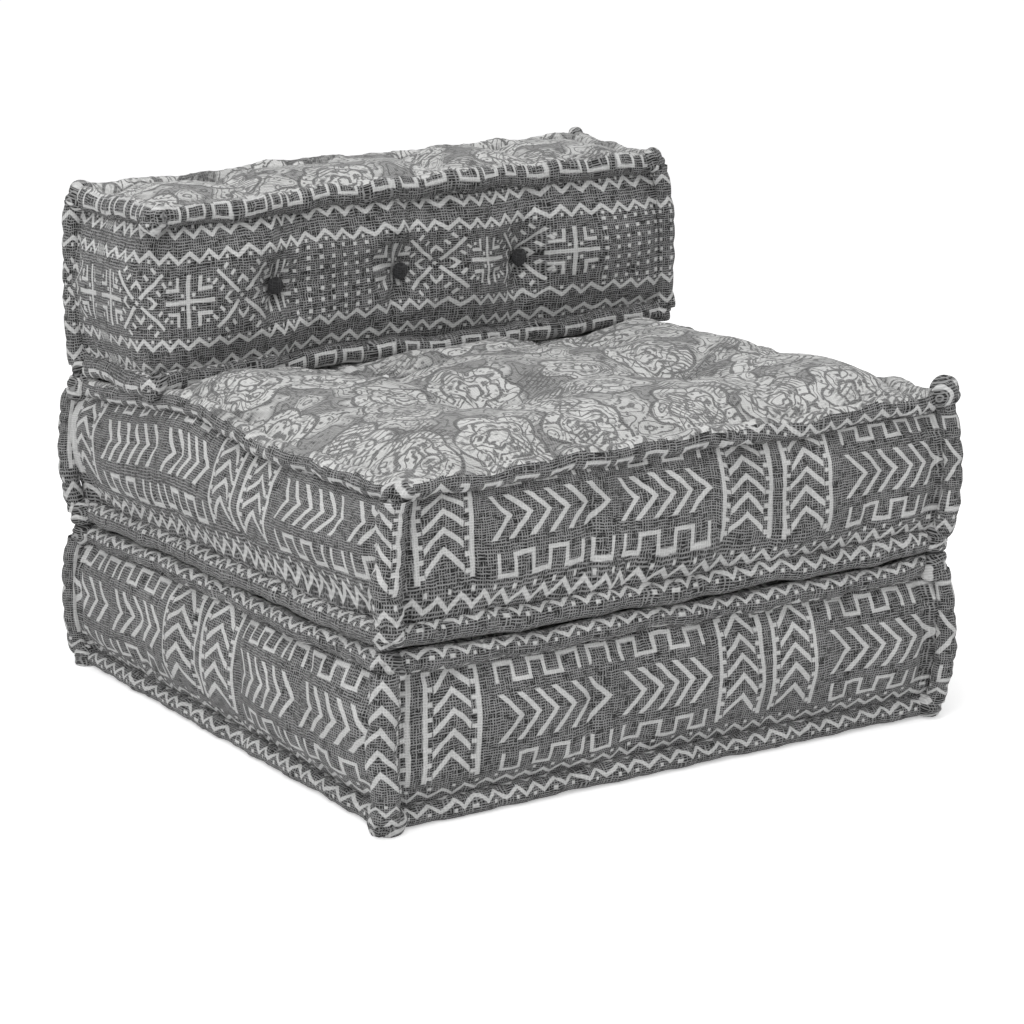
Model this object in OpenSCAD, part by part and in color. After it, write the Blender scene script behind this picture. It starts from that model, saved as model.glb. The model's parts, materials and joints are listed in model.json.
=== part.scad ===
// Modular floor sofa: a base cushion, a seat cushion of the same size on it, and a back cushion
// standing along the rear of the seat. All three are box cushions with rolled edges, laid loose.
// X is the width, Y runs from front to back, Z is up, and the base's underside rests on Z = 0.

/* [Square cushions] */
// Width of the base and seat cushions
pouf_w = 700; // [600:10:900]
// Depth of the base and seat cushions, front to back
pouf_d = 700; // [600:10:900]
// Height of each square cushion
pouf_h = 180; // [150:5:240]

/* [Back cushion] */
// Width of the back cushion
back_w = 700; // [600:10:900]
// Thickness of the back cushion, front to back
back_d = 200; // [160:5:240]
// Height of the back cushion
back_h = 200; // [170:5:300]

/* [Stuffed form] */
// Rise of the free seat top between its tufts
seat_crown = 15; // [0:1:25]
// Rise of the back cushion's top between its rolled edges
back_crown = 10; // [0:1:20]
// How far the middle of each side is drawn in between the corners
side_draw = 4; // [3:1:10]
// How far the borders belly out between the rolled edges
belly = 18; // [2:1:20]
// Width of the strip in which a formed panel falls to its rolled edge
edge_fall = 46; // [30:1:60]

/* [Rolled edges] */
// Thickness of the rolled edges
roll_d = 24; // [16:1:28]
// Diameter of the knob where the rolled edges meet at a corner
ear_d = 32; // [29:1:36]
// Thickness of the upright rolls at the corners
corner_roll_d = 24; // [14:1:26]

/* [Seat tufts] */
// Distance between the two tuft columns
tuft_pitch_x = 250; // [160:5:300]
// Distance between the two tuft rows
tuft_pitch_y = 210; // [140:5:240]
// Middle of the tufts, to the right of the cushion's middle
tuft_shift_x = 30; // [-40:5:40]
// Middle of the tufts, behind the cushion's middle
tuft_shift_y = -20; // [-40:5:0]
// Depth that a tuft is pulled below the free seat top
tuft_depth = 22; // [10:1:30]
// Reach of the dimple round a tuft
tuft_reach = 82; // [60:1:100]
// Depth of the pulled-in cone on a face that lies flat
flat_tuft_depth = 14; // [13:1:24]
// Radius of that cone at the face
flat_tuft_r = 45; // [35:1:60]

/* [Back buttons] */
// Distance between the buttons
button_pitch = 163; // [120:1:180]
// Middle button, to the right of the cushion's middle
button_shift = -23; // [-50:1:50]
// Diameter of a button
button_d = 20; // [14:1:26]
// Depth that a button is pulled into the cushion
button_depth = 20; // [10:1:34]
// Reach of the dimple round a button
button_reach = 56; // [45:1:70]

/* [Cloth and twine] */
// Thickness of the cover cloth
cloth_t = 2; // [1:0.1:3]
// Thickness of the tufting twine
twine_d = 3; // [2:0.1:4]
// Diameter of the knots that end the tufting twine
knot_d = 11; // [8:1:12]
// Clearance between pieces of one cushion
fit = 0.3; // [0.2:0.1:0.5]
// Clearance between one cushion and the next
lay_gap = 0.3; // [0.2:0.1:0.6]

/* [Hidden] */

print_grey = "#6a6a6a";
damask_grey = "#b4b4b2";
stuffing_cream = "#e6dfcc";
twine_cream = "#d6cfb8";
button_charcoal = "#3b3b3d";

// Heights at which the seat and back cushions lie, and the back cushion's middle line
seat_z = pouf_h + lay_gap;
back_z = seat_z + pouf_h + lay_gap;
back_y = pouf_d / 2 - back_d / 2;
ear_r = ear_d / 2;
roll_r = roll_d / 2;
corner_r = corner_roll_d / 2;
twine_bore_r = twine_d / 2 + fit;

// Insets from a cushion's faces: of a panel's rim, a border's edge, its end and the filling
rim_in = ear_r + roll_r + fit;
border_low = rim_in;
corner_in = ear_r + corner_r + fit;
fill_in = ear_r + cloth_t + fit;

// Front of the strip of seat that the back cushion lies on
bed_y = pouf_d / 2 - back_d;

tuft_x = [for (k = [-0.5, 0.5]) tuft_shift_x + k * tuft_pitch_x];
tuft_y = [for (k = [-0.5, 0.5]) tuft_shift_y + k * tuft_pitch_y];
button_x = [for (k = [-1:1]) button_shift + k * button_pitch];

// Rows of facets up a border
border_rows = 4;
back_rows = 8;

// How far a corner is cut behind its roll, and a flat panel's inset under the rolled edge
corner_cut = corner_r * 0.6;
plate_in = ear_r + roll_r * 0.75;

// Distance from a roll's middle at which the filling's facets clear it
roll_clear = (roll_r + 2 * fit) * 1.1;

// Width of the seat in front of the back cushion that already lies low
bed_lead = 40;

// How much steeper a facet of a dimple may be than its round form
facet_share = 1.1;

// Lap of a tuft's cone into its flat panel, and the slope of the cone
cone_lap = 2;
cone_slope = (flat_tuft_depth - cloth_t) / (flat_tuft_r - twine_bore_r);

// Which way a number points
function sgn(a) = a < 0 ? -1 : 1;

// Even steps from a up to b, without b
function steps(a, b, n) = [for (i = [0:n - 1]) a + (b - a) * i / n];

// A list of stations seen from the other side
function mirrored(list) = [for (i = [len(list) - 1:-1:0]) -list[i]];

// A round fall from depth at the middle to nothing at reach
function dimple(r, depth, reach) = r < reach ? depth * (1 + cos(180 * r / reach)) / 2 : 0;

// Slope of the steepest straight line from the bottom of such a dimple to its side
function steepest(depth, reach) = 1.14 * depth / reach;

// How far a side is drawn in at distance a from its middle, with c from the middle to the ear
function pull(a, c) = side_draw * (1 - pow(a / c, 2));

// A plan point, with u and v from -1 to 1, inset q from a cushion of half sizes hw and hd
function plan(u, v, q, hw, hd) =
    let (x = u * (hw - q), y = v * (hd - q))
    [x - sgn(u) * pow(abs(u), 6) * pull(y, hd - ear_r),
     y - sgn(v) * pow(abs(v), 6) * pull(x, hw - ear_r)];

// The stations round a cushion, anticlockwise from its front left corner
function round_stations(us, vs) = concat(
    [for (i = [0:len(us) - 2]) [us[i], -1]],
    [for (j = [0:len(vs) - 2]) [1, vs[j]]],
    [for (i = [len(us) - 1:-1:1]) [us[i], 1]],
    [for (j = [len(vs) - 1:-1:1]) [-1, vs[j]]]
);

// The belly's share at row k of a side with a number of rows
function belly_row(k, rows) = pow(sin(180 * k / rows), 0.7);

// Outward belly of a side, at s along it from -1 to 1 and t up it from 0 to 1
function bulge(s, t, rows) =
    let (k = min(floor(t * rows), rows - 1), a = belly_row(k, rows), b = belly_row(k + 1, rows))
    belly * (a + (b - a) * (t * rows - k)) * (1 - pow(min(1, abs(s)), 8));

// A closed solid between an outer and an inner grid of points, seen from outside
module sheet(outer, inner) {
    rows = len(outer);
    cols = len(outer[0]);
    count = rows * cols;
    points = concat([for (row = outer) each row], [for (row = inner) each row]);
    function id(i, j, side) = i * cols + j + side * count;
    faces = concat(
        [for (i = [0:rows - 2], j = [0:cols - 2]) each [
            [id(i, j, 0), id(i + 1, j, 0), id(i + 1, j + 1, 0)],
            [id(i, j, 0), id(i + 1, j + 1, 0), id(i, j + 1, 0)],
            [id(i, j, 1), id(i + 1, j + 1, 1), id(i + 1, j, 1)],
            [id(i, j, 1), id(i, j + 1, 1), id(i + 1, j + 1, 1)]
        ]],
        [for (j = [0:cols - 2]) each [
            [id(0, j, 0), id(0, j + 1, 0), id(0, j + 1, 1)],
            [id(0, j, 0), id(0, j + 1, 1), id(0, j, 1)],
            [id(rows - 1, j, 0), id(rows - 1, j + 1, 1), id(rows - 1, j + 1, 0)],
            [id(rows - 1, j, 0), id(rows - 1, j, 1), id(rows - 1, j + 1, 1)]
        ]],
        [for (i = [0:rows - 2]) each [
            [id(i, 0, 0), id(i + 1, 0, 1), id(i + 1, 0, 0)],
            [id(i, 0, 0), id(i, 0, 1), id(i + 1, 0, 1)],
            [id(i, cols - 1, 0), id(i + 1, cols - 1, 0), id(i + 1, cols - 1, 1)],
            [id(i, cols - 1, 0), id(i + 1, cols - 1, 1), id(i, cols - 1, 1)]
        ]]
    );
    polyhedron(points, faces, convexity = 6);
}

// A closed solid of stacked loops, with a flat underside and a top that is flat or a formed grid
module stack(loops, top_grid = []) {
    n = len(loops[0]);
    levels = len(loops);
    loop_points = [for (loop = loops) each loop];
    base = n * levels;
    cols = len(top_grid) > 0 ? len(top_grid[0]) : 0;
    function id(i, j) = i * n + j % n;
    function top(i, j) = base + i * cols + j;
    faces = concat(
        [[for (j = [0:n - 1]) j]],
        [for (i = [0:levels - 2], j = [0:n - 1]) each [
            [id(i, j), id(i + 1, j), id(i + 1, j + 1)],
            [id(i, j), id(i + 1, j + 1), id(i, j + 1)]
        ]],
        cols == 0 ? [[for (j = [n - 1:-1:0]) id(levels - 1, j)]] : [],
        cols == 0 ? [] : [for (i = [0:len(top_grid) - 2], j = [0:cols - 2]) each [
            [top(i, j), top(i + 1, j), top(i + 1, j + 1)],
            [top(i, j), top(i + 1, j + 1), top(i, j + 1)]
        ]]
    );
    polyhedron(concat(loop_points, [for (row = top_grid) each row]), faces, convexity = 6);
}

// Half sizes of the square cushions and of the back cushion
pouf_half = [pouf_w / 2, pouf_d / 2];
back_half = [back_w / 2, back_d / 2];

// Grid lines of the seat, which meet at the tufts, and the plain lines of the base
tuft_u = tuft_x / (pouf_half[0] - rim_in);
tuft_v = tuft_y / (pouf_half[1] - rim_in);
seat_us = concat(steps(-1, tuft_u[0], 5), steps(tuft_u[0], tuft_u[1], 6), steps(tuft_u[1], 1, 4), [1]);
seat_vs = concat(steps(-1, tuft_v[0], 4), steps(tuft_v[0], tuft_v[1], 5), steps(tuft_v[1], 1, 5), [1]);
base_us = concat(steps(-1, 1, 12), [1]);

// Grid lines along the back cushion, which meet at the buttons, and across it
button_u = button_x / (back_half[0] - fill_in);
back_us = concat(
    steps(-1, button_u[0], 4), steps(button_u[0], button_u[1], 4),
    steps(button_u[1], button_u[2], 4), steps(button_u[2], 1, 5), [1]
);
back_vs = concat(steps(-1, 1, 4), [1]);

// Height of a panel near its rim, as a share from 0 at the rolled edge to 1 inside the fall
function fall(a, c) = pow(min(1, max(0, (c - abs(a)) / edge_fall)), 0.5);

// Height of the seat top above its rim, at a plan point
function seat_rise(p) =
    let (
        hw = pouf_half[0] - rim_in,
        hd = pouf_half[1] - rim_in,
        free = min(1, max(0, (bed_y - bed_lead - p[1]) / (bed_y - bed_lead + hd))),
        lift = seat_crown * pow(sin(180 * free), 0.6) * (1 - pow(abs(p[0]) / hw, 4)),
        tufts = [for (x = tuft_x, y = tuft_y) dimple(norm(p - [x, y]), tuft_depth, tuft_reach)]
    )
    (ear_r + cloth_t / 2) * fall(p[0], hw) * fall(p[1], hd) + lift - max(tufts);

// Height of the back cushion's top above its rim
function back_rise(p) =
    let (
        hw = back_half[0] - rim_in,
        hd = back_half[1] - rim_in,
        across = max(0, 1 - pow(p[1] / hd, 2)),
        lift = back_crown * (1 - pow(abs(p[0]) / hw, 4)) * across
    )
    (ear_r + cloth_t / 2) * fall(p[0], hw) * pow(across, 0.5) + lift;

// Grids of a formed top panel, lowered by drop
function top_rows(us, vs, half, h, drop) = [
    for (v = vs) [
        for (u = us)
        let (
            p = plan(u, v, rim_in, half[0], half[1]),
            rise = half == pouf_half ? seat_rise(p) : back_rise(p),
            edge = max(abs(u), abs(v)) == 1
        )
        [p[0], p[1], h - ear_r - cloth_t / 2 - drop + (edge ? 0 : rise)]
    ]
];

// The loop of points round the rim of a formed top, as top_rows places it
function rim_loop(us, vs, half, h, drop) = [
    for (s = round_stations(us, vs))
    let (p = plan(s[0], s[1], rim_in, half[0], half[1]))
    [p[0], p[1], h - ear_r - cloth_t / 2 - drop]
];

// A loop of points round a cushion at height z and inset q
function level(us, vs, half, q, z) = [
    for (s = round_stations(us, vs))
    let (p = plan(s[0], s[1], q, half[0], half[1]))
    [p[0], p[1], z]
];

// A loop of points just inside the borders, at share t of their height
function belly_level(us, vs, half, h, t, rows) = [
    for (s = round_stations(us, vs))
    let (
        corner = abs(s[0]) == 1 && abs(s[1]) == 1,
        front = abs(s[1]) == 1,
        z = border_low + (h - 2 * border_low) * t,
        p = plan(s[0], s[1], fill_in, half[0], half[1]),
        x = front ? s[0] * (half[0] - fill_in) : s[1] * (half[1] - fill_in),
        turned = front ? half : [half[1], half[0]],
        out = border_out(x, t, turned, h, rows) - cloth_t - fit,
        y = turned[1] - ear_r + out
    )
    corner ? [p[0] - sgn(s[0]) * corner_cut, p[1] - sgn(s[1]) * corner_cut, z]
           : front ? [x, sgn(s[1]) * y, z] : [sgn(s[0]) * y, x, z]
];

// How far a border's outer face stands out from the line of the ears, at x along it
function border_out(x, t, half, h, rows, flip = 1) =
    let (
        c = half[0] - ear_r,
        z = border_low + (h - 2 * border_low) * t,
        dent = half == back_half ? button_dent(flip * x, z) : 0
    )
    bulge(x / c, t, rows) - dent - pull(x, c);

// How far the buttons pull in the back cushion's front and rear
function button_dent(x, z) =
    max([for (b = button_x) dimple(norm([x - b, z - back_h / 2]), button_depth, button_reach)]);

// Loops of a filling's sides, from above the lower rolled edge to below the upper one
function side_loops(us, vs, half, h, rows) =
    let (first = cloth_t / (h - 2 * border_low))
    [for (t = concat([first], [for (k = [1:rows - 1]) k / rows], [1 - first]))
        belly_level(us, vs, half, h, t, rows)];

// Loops that pass inside a rolled edge: one beside it and one diagonally from it
function roll_loops(us, vs, half, h, upper) =
    let (
        diagonal = roll_clear * sqrt(0.5),
        beside = level(us, vs, half, ear_r + roll_clear, upper ? h - ear_r : ear_r),
        turned_z = ear_r + diagonal,
        turning = level(us, vs, half, ear_r + diagonal, upper ? h - turned_z : turned_z)
    )
    upper ? [turning, beside] : [beside, turning];

// The cut that clears the cones of tufts on a flat face, from the plane Z = 0 up
module flat_tuft_cones() {
    for (x = tuft_x, y = tuft_y) translate([x, y, 0]) {
        cylinder(h = flat_tuft_depth - cloth_t, r1 = flat_tuft_r, r2 = twine_bore_r, $fn = 48);
        translate([0, 0, -1]) cylinder(h = 1, r = flat_tuft_r, $fn = 48);
    }
}

// A drawn-in outline as a flat shape
module outline(us, vs, half, q) {
    polygon([for (s = round_stations(us, vs)) plan(s[0], s[1], q, half[0], half[1])]);
}

// A flat panel on its plane, with a pulled-in cone at each tuft
module flat_panel(us, vs, half, tufts) {
    difference() {
        linear_extrude(cloth_t) outline(us, vs, half, plate_in);
        if (tufts) {
            for (x = tuft_x, y = tuft_y) translate([x, y, -1])
                cylinder(h = cloth_t + 2, r = flat_tuft_r - cone_lap, $fn = 48);
        }
    }
    if (tufts) {
        for (x = tuft_x, y = tuft_y) translate([x, y, 0]) tuft_cone();
    }
}

// The cloth cone that a tuft pulls into a flat panel, open for the twine
module tuft_cone() {
    rotate_extrude($fn = 48) polygon([
        [flat_tuft_r - cone_lap, 0],
        [flat_tuft_r, 0],
        [flat_tuft_r, cloth_t],
        [twine_bore_r, cloth_t + cone_slope * (flat_tuft_r - twine_bore_r)],
        [twine_bore_r, cone_slope * (flat_tuft_r - cone_lap - twine_bore_r)]
    ]);
}

// A point of a front border, at x along it and skin behind its outer face
function border_point(x, t, half, h, skin, rows, flip = 1) = [
    x,
    -(half[1] - ear_r) - border_out(x, t, half, h, rows, flip) + skin,
    border_low + (h - 2 * border_low) * t
];

// A border between two corner rolls on the front side, with stations us
module border(us, half, h, rows) {
    end = half[0] - corner_in;
    inner = [for (u = us) if (abs(u) < 1) u * (half[0] - fill_in)];
    xs = concat([-end], inner, [end]);
    function rows_at(skin) = [
        for (k = [0:rows]) [for (x = xs) border_point(x, k / rows, half, h, skin, rows)]
    ];
    sheet(rows_at(0), rows_at(cloth_t));
}

// A border that runs round one smooth corner: the left side, then the front
module corner_border(us, vs, half, h, rows, flip) {
    turned = [half[1], half[0]];
    side_inner = [for (v = vs) if (abs(v) < 1) v * (half[1] - fill_in)];
    side_xs = concat([-(half[1] - corner_in)], side_inner);
    front_inner = [for (u = us) if (abs(u) < 1) u * (half[0] - fill_in)];
    front_xs = concat(front_inner, [half[0] - corner_in]);
    corner_low = ear_d + fit;
    function rows_at(skin) = [
        for (k = [0:rows])
        let (t = k / rows, q = ear_r + skin + corner_cut / 2)
        concat(
            [for (x = side_xs) let (p = border_point(x, t, turned, h, skin, rows)) [p[1], -p[0], p[2]]],
            [[q - half[0], q - half[1], corner_low + (h - 2 * corner_low) * t]],
            [for (x = front_xs) border_point(x, t, half, h, skin, rows, flip)]
        )
    ];
    sheet(rows_at(0), rows_at(cloth_t));
}

// One rolled edge round a cushion: four drawn-in rolls that meet in ears at the corners
module rolled_edge(half) {
    for (k = [0:3]) {
        along = half[k % 2] - ear_r;
        across = half[(k + 1) % 2] - ear_r;
        r = (along * along + side_draw * side_draw) / (2 * side_draw);
        a = asin(along / r);
        rotate([0, 0, 90 * k]) {
            translate([0, -across + side_draw - r, 0]) rotate([0, 0, 90 - a])
                rotate_extrude(angle = 2 * a, $fn = ceil(5400 / a)) translate([r, 0])
                    circle(r = roll_r, $fn = 32);
            translate([along, -across, 0]) sphere(r = ear_r, $fn = 40);
        }
    }
}

// Upright rolls at the corners named, between the ears of the two rolled edges
module corner_rolls(half, h, corners) {
    for (s = corners) {
        translate([s[0] * (half[0] - ear_r), s[1] * (half[1] - ear_r), ear_d + fit])
            cylinder(h = h - 2 * (ear_d + fit), r = corner_r, $fn = 40);
    }
}

all_corners = [[-1, -1], [1, -1], [1, 1], [-1, 1]];
seam_corners = [[1, -1], [-1, 1]];

// Twine from z0 to z1 with a knot at each end
module tied_twine(z0, z1) {
    translate([0, 0, z0]) cylinder(h = z1 - z0, r = twine_d / 2, $fn = 24);
    for (z = [z0, z1]) translate([0, 0, z]) sphere(r = knot_d / 2, $fn = 32);
}

// How far the middle of a knot stays from the tip of a dimple of that slope
function knot_stand(slope) = (knot_d / 2 + fit) / cos(atan(slope));

// Depth of a knot's middle in the cone on a flat face, and its height over a seat tuft
flat_knot = cone_slope * (flat_tuft_r - cone_lap) - knot_stand(cone_slope);
seat_knot = knot_stand(steepest(tuft_depth, tuft_reach) * facet_share);

module base_filling() {
    color(stuffing_cream) difference() {
        stack(concat(
            [level(base_us, base_us, pouf_half, rim_in + cloth_t, cloth_t + fit)],
            roll_loops(base_us, base_us, pouf_half, pouf_h, false),
            side_loops(base_us, base_us, pouf_half, pouf_h, border_rows),
            roll_loops(base_us, base_us, pouf_half, pouf_h, true),
            [level(base_us, base_us, pouf_half, rim_in + cloth_t, pouf_h - cloth_t - fit)]
        ));
        translate([0, 0, cloth_t + fit]) flat_tuft_cones();
        translate([0, 0, pouf_h - cloth_t - fit]) mirror([0, 0, 1]) flat_tuft_cones();
        twine_bores(pouf_h);
    }
}

// Bores for the twine through a square cushion
module twine_bores(h) {
    for (x = tuft_x, y = tuft_y) {
        translate([x, y, -1]) cylinder(h = h + 2, r = twine_bore_r, $fn = 24);
    }
}

module base_top_panel() {
    color(damask_grey) translate([0, 0, pouf_h]) mirror([0, 0, 1])
        flat_panel(base_us, base_us, pouf_half, true);
}

module base_bottom_panel() {
    color(damask_grey) flat_panel(base_us, base_us, pouf_half, true);
}

// The border on side k of a square cushion: 0 front, 1 right, 2 rear, 3 left
module pouf_border(k, us, vs) {
    half = k % 2 == 0 ? pouf_half : [pouf_half[1], pouf_half[0]];
    along = k % 2 == 0 ? us : vs;
    color(print_grey) rotate([0, 0, 90 * k])
        border(k < 2 ? along : mirrored(along), half, pouf_h, border_rows);
}

module base_front_border() { pouf_border(0, base_us, base_us); }
module base_right_border() { pouf_border(1, base_us, base_us); }
module base_rear_border() { pouf_border(2, base_us, base_us); }
module base_left_border() { pouf_border(3, base_us, base_us); }

module base_top_rolled_edge() {
    color(print_grey) translate([0, 0, pouf_h - ear_r]) rolled_edge(pouf_half);
}

module base_bottom_rolled_edge() {
    color(print_grey) translate([0, 0, ear_r]) rolled_edge(pouf_half);
}

module base_corner_rolls() {
    color(print_grey) corner_rolls(pouf_half, pouf_h, all_corners);
}

module base_tufting_twine() {
    color(twine_cream) for (x = tuft_x, y = tuft_y) {
        translate([x, y, 0]) tied_twine(flat_knot, pouf_h - flat_knot);
    }
}

module seat_filling() {
    color(stuffing_cream) translate([0, 0, seat_z]) difference() {
        stack(
            concat(
                [level(seat_us, seat_vs, pouf_half, rim_in + cloth_t, cloth_t + fit)],
                roll_loops(seat_us, seat_vs, pouf_half, pouf_h, false),
                side_loops(seat_us, seat_vs, pouf_half, pouf_h, border_rows),
                [roll_loops(seat_us, seat_vs, pouf_half, pouf_h, true)[0]],
                [rim_loop(seat_us, seat_vs, pouf_half, pouf_h, cloth_t + fit)]
            ),
            top_rows(seat_us, seat_vs, pouf_half, pouf_h, cloth_t + fit)
        );
        translate([0, 0, cloth_t + fit]) flat_tuft_cones();
        twine_bores(pouf_h + seat_crown);
    }
}

module seat_top_panel() {
    color(damask_grey) translate([0, 0, seat_z]) difference() {
        sheet(
            top_rows(seat_us, seat_vs, pouf_half, pouf_h, 0),
            top_rows(seat_us, seat_vs, pouf_half, pouf_h, cloth_t)
        );
        twine_bores(pouf_h + seat_crown);
    }
}

module seat_bottom_panel() {
    color(damask_grey) translate([0, 0, seat_z]) flat_panel(base_us, base_us, pouf_half, true);
}

module seat_front_border() { translate([0, 0, seat_z]) pouf_border(0, seat_us, seat_vs); }
module seat_right_border() { translate([0, 0, seat_z]) pouf_border(1, seat_us, seat_vs); }
module seat_rear_border() { translate([0, 0, seat_z]) pouf_border(2, seat_us, seat_vs); }
module seat_left_border() { translate([0, 0, seat_z]) pouf_border(3, seat_us, seat_vs); }

module seat_top_rolled_edge() {
    color(print_grey) translate([0, 0, seat_z + pouf_h - ear_r]) rolled_edge(pouf_half);
}

module seat_bottom_rolled_edge() {
    color(print_grey) translate([0, 0, seat_z + ear_r]) rolled_edge(pouf_half);
}

module seat_corner_rolls() {
    color(print_grey) translate([0, 0, seat_z]) corner_rolls(pouf_half, pouf_h, all_corners);
}

module seat_tufting_twine() {
    color(twine_cream) for (x = tuft_x, y = tuft_y) {
        top = pouf_h - ear_r - cloth_t / 2 + seat_rise([x, y]);
        translate([x, y, seat_z]) tied_twine(flat_knot, top + seat_knot);
    }
}

module back_place() {
    translate([0, back_y, back_z]) children();
}

module back_filling() {
    color(stuffing_cream) back_place() difference() {
        stack(
            concat(
                [level(back_us, back_vs, back_half, rim_in + cloth_t, cloth_t + fit)],
                roll_loops(back_us, back_vs, back_half, back_h, false),
                side_loops(back_us, back_vs, back_half, back_h, back_rows),
                [roll_loops(back_us, back_vs, back_half, back_h, true)[0]],
                [rim_loop(back_us, back_vs, back_half, back_h, cloth_t + fit)]
            ),
            top_rows(back_us, back_vs, back_half, back_h, cloth_t + fit)
        );
        button_bores();
    }
}

// Bores for the twine between the front and rear buttons
module button_bores() {
    for (x = button_x) {
        translate([x, back_d, back_h / 2]) rotate([90, 0, 0])
            cylinder(h = 2 * back_d, r = twine_bore_r, $fn = 24);
    }
}

module back_top_panel() {
    color(damask_grey) back_place() sheet(
        top_rows(back_us, back_vs, back_half, back_h, 0),
        top_rows(back_us, back_vs, back_half, back_h, cloth_t)
    );
}

module back_bottom_panel() {
    color(damask_grey) back_place() flat_panel(back_us, back_vs, back_half, false);
}

module back_front_left_border() {
    color(print_grey) back_place() difference() {
        corner_border(back_us, back_vs, back_half, back_h, back_rows, 1);
        button_bores();
    }
}

module back_rear_right_border() {
    color(print_grey) back_place() difference() {
        rotate([0, 0, 180])
            corner_border(mirrored(back_us), back_vs, back_half, back_h, back_rows, -1);
        button_bores();
    }
}

module back_top_rolled_edge() {
    color(print_grey) back_place() translate([0, 0, back_h - ear_r]) rolled_edge(back_half);
}

module back_bottom_rolled_edge() {
    color(print_grey) back_place() translate([0, 0, ear_r]) rolled_edge(back_half);
}

module back_corner_rolls() {
    color(print_grey) back_place() corner_rolls(back_half, back_h, seam_corners);
}

// Distance from the back cushion's middle plane to the bottom of a button's dimple
function button_seat(x) = back_half[1] - ear_r + border_out(x, 0.5, back_half, back_h, back_rows);

// Heights over the bottom of its dimple at which a button's shank and its rim clear the cloth
button_slope = steepest(button_depth, button_reach) * facet_share;
shank_r = twine_d;
shank_low = shank_r * button_slope + fit;
button_low = button_d / 2 * button_slope + fit;
button_edge = button_d * 0.1;
button_dome = button_d * 0.22;

// A cloth-covered domed button on its shank, with the dimple's bottom at Z = 0
module button() {
    r = button_d / 2;
    rotate_extrude($fn = 48) polygon(concat(
        [[0, shank_low], [shank_r, shank_low], [shank_r, button_low], [r - button_edge, button_low],
         [r, button_low + button_edge]],
        [for (a = [15:15:90]) [r * cos(a), button_low + button_edge + button_dome * sin(a)]]
    ));
}

// The buttons on one face of the back cushion: way is -1 for the front and 1 for the rear
module buttons(way) {
    color(button_charcoal) back_place() for (x = button_x) {
        translate([x, way * button_seat(x), back_h / 2]) rotate([-90 * way, 0, 0]) button();
    }
}

module back_front_buttons() { buttons(-1); }
module back_rear_buttons() { buttons(1); }

module back_button_twine() {
    color(twine_cream) back_place() for (x = button_x) {
        reach = button_seat(x) + shank_low;
        translate([x, reach, back_h / 2]) rotate([90, 0, 0])
            cylinder(h = 2 * reach, r = twine_d / 2, $fn = 24);
    }
}

base_filling();
base_top_panel();
base_bottom_panel();
base_front_border();
base_right_border();
base_rear_border();
base_left_border();
base_top_rolled_edge();
base_bottom_rolled_edge();
base_corner_rolls();
base_tufting_twine();
seat_filling();
seat_top_panel();
seat_bottom_panel();
seat_front_border();
seat_right_border();
seat_rear_border();
seat_left_border();
seat_top_rolled_edge();
seat_bottom_rolled_edge();
seat_corner_rolls();
seat_tufting_twine();
back_filling();
back_top_panel();
back_bottom_panel();
back_front_left_border();
back_rear_right_border();
back_top_rolled_edge();
back_bottom_rolled_edge();
back_corner_rolls();
back_front_buttons();
back_rear_buttons();
back_button_twine();
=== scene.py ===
import math

import bpy
import numpy as np
from mathutils import Matrix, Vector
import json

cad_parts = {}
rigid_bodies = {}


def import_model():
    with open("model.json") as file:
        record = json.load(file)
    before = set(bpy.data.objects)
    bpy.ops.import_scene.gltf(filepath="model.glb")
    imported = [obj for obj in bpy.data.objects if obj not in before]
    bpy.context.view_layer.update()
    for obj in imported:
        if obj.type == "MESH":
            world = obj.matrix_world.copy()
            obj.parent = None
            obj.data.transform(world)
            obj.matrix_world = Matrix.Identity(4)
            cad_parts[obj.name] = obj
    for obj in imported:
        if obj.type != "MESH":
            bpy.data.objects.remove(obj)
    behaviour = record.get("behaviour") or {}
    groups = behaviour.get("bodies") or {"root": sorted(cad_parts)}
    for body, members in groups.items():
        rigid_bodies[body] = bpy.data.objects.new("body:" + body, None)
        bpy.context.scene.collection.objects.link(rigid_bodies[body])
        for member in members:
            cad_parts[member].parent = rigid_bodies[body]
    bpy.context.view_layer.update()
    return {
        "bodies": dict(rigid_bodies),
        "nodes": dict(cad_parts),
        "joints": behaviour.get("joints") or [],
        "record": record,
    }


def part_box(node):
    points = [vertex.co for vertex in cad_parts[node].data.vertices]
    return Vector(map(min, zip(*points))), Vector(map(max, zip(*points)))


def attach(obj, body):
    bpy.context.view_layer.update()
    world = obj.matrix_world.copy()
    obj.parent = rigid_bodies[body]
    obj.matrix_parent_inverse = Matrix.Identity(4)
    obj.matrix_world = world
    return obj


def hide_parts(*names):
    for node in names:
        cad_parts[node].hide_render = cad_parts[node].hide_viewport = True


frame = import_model()
scene = bpy.context.scene
scene.view_settings.view_transform = "Standard"

# The view: an upright camera a little above the seat, in front of the left corner, and a plain
# studio of a white floor, a white surround, one broad lamp overhead and a weaker one in front.
camera_place = (-1.759, -2.747, 1.013)
camera_turn = math.radians(32.95)
camera_dip = math.radians(13.87)
camera_lens = 105.2
camera = bpy.data.objects.new("camera", bpy.data.cameras.new("camera"))
camera.data.lens = camera_lens
camera.data.sensor_width = 36.0
camera.location = camera_place
camera.rotation_euler = (math.pi / 2 - camera_dip, 0.0, -camera_turn)
scene.collection.objects.link(camera)
scene.camera = camera


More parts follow.
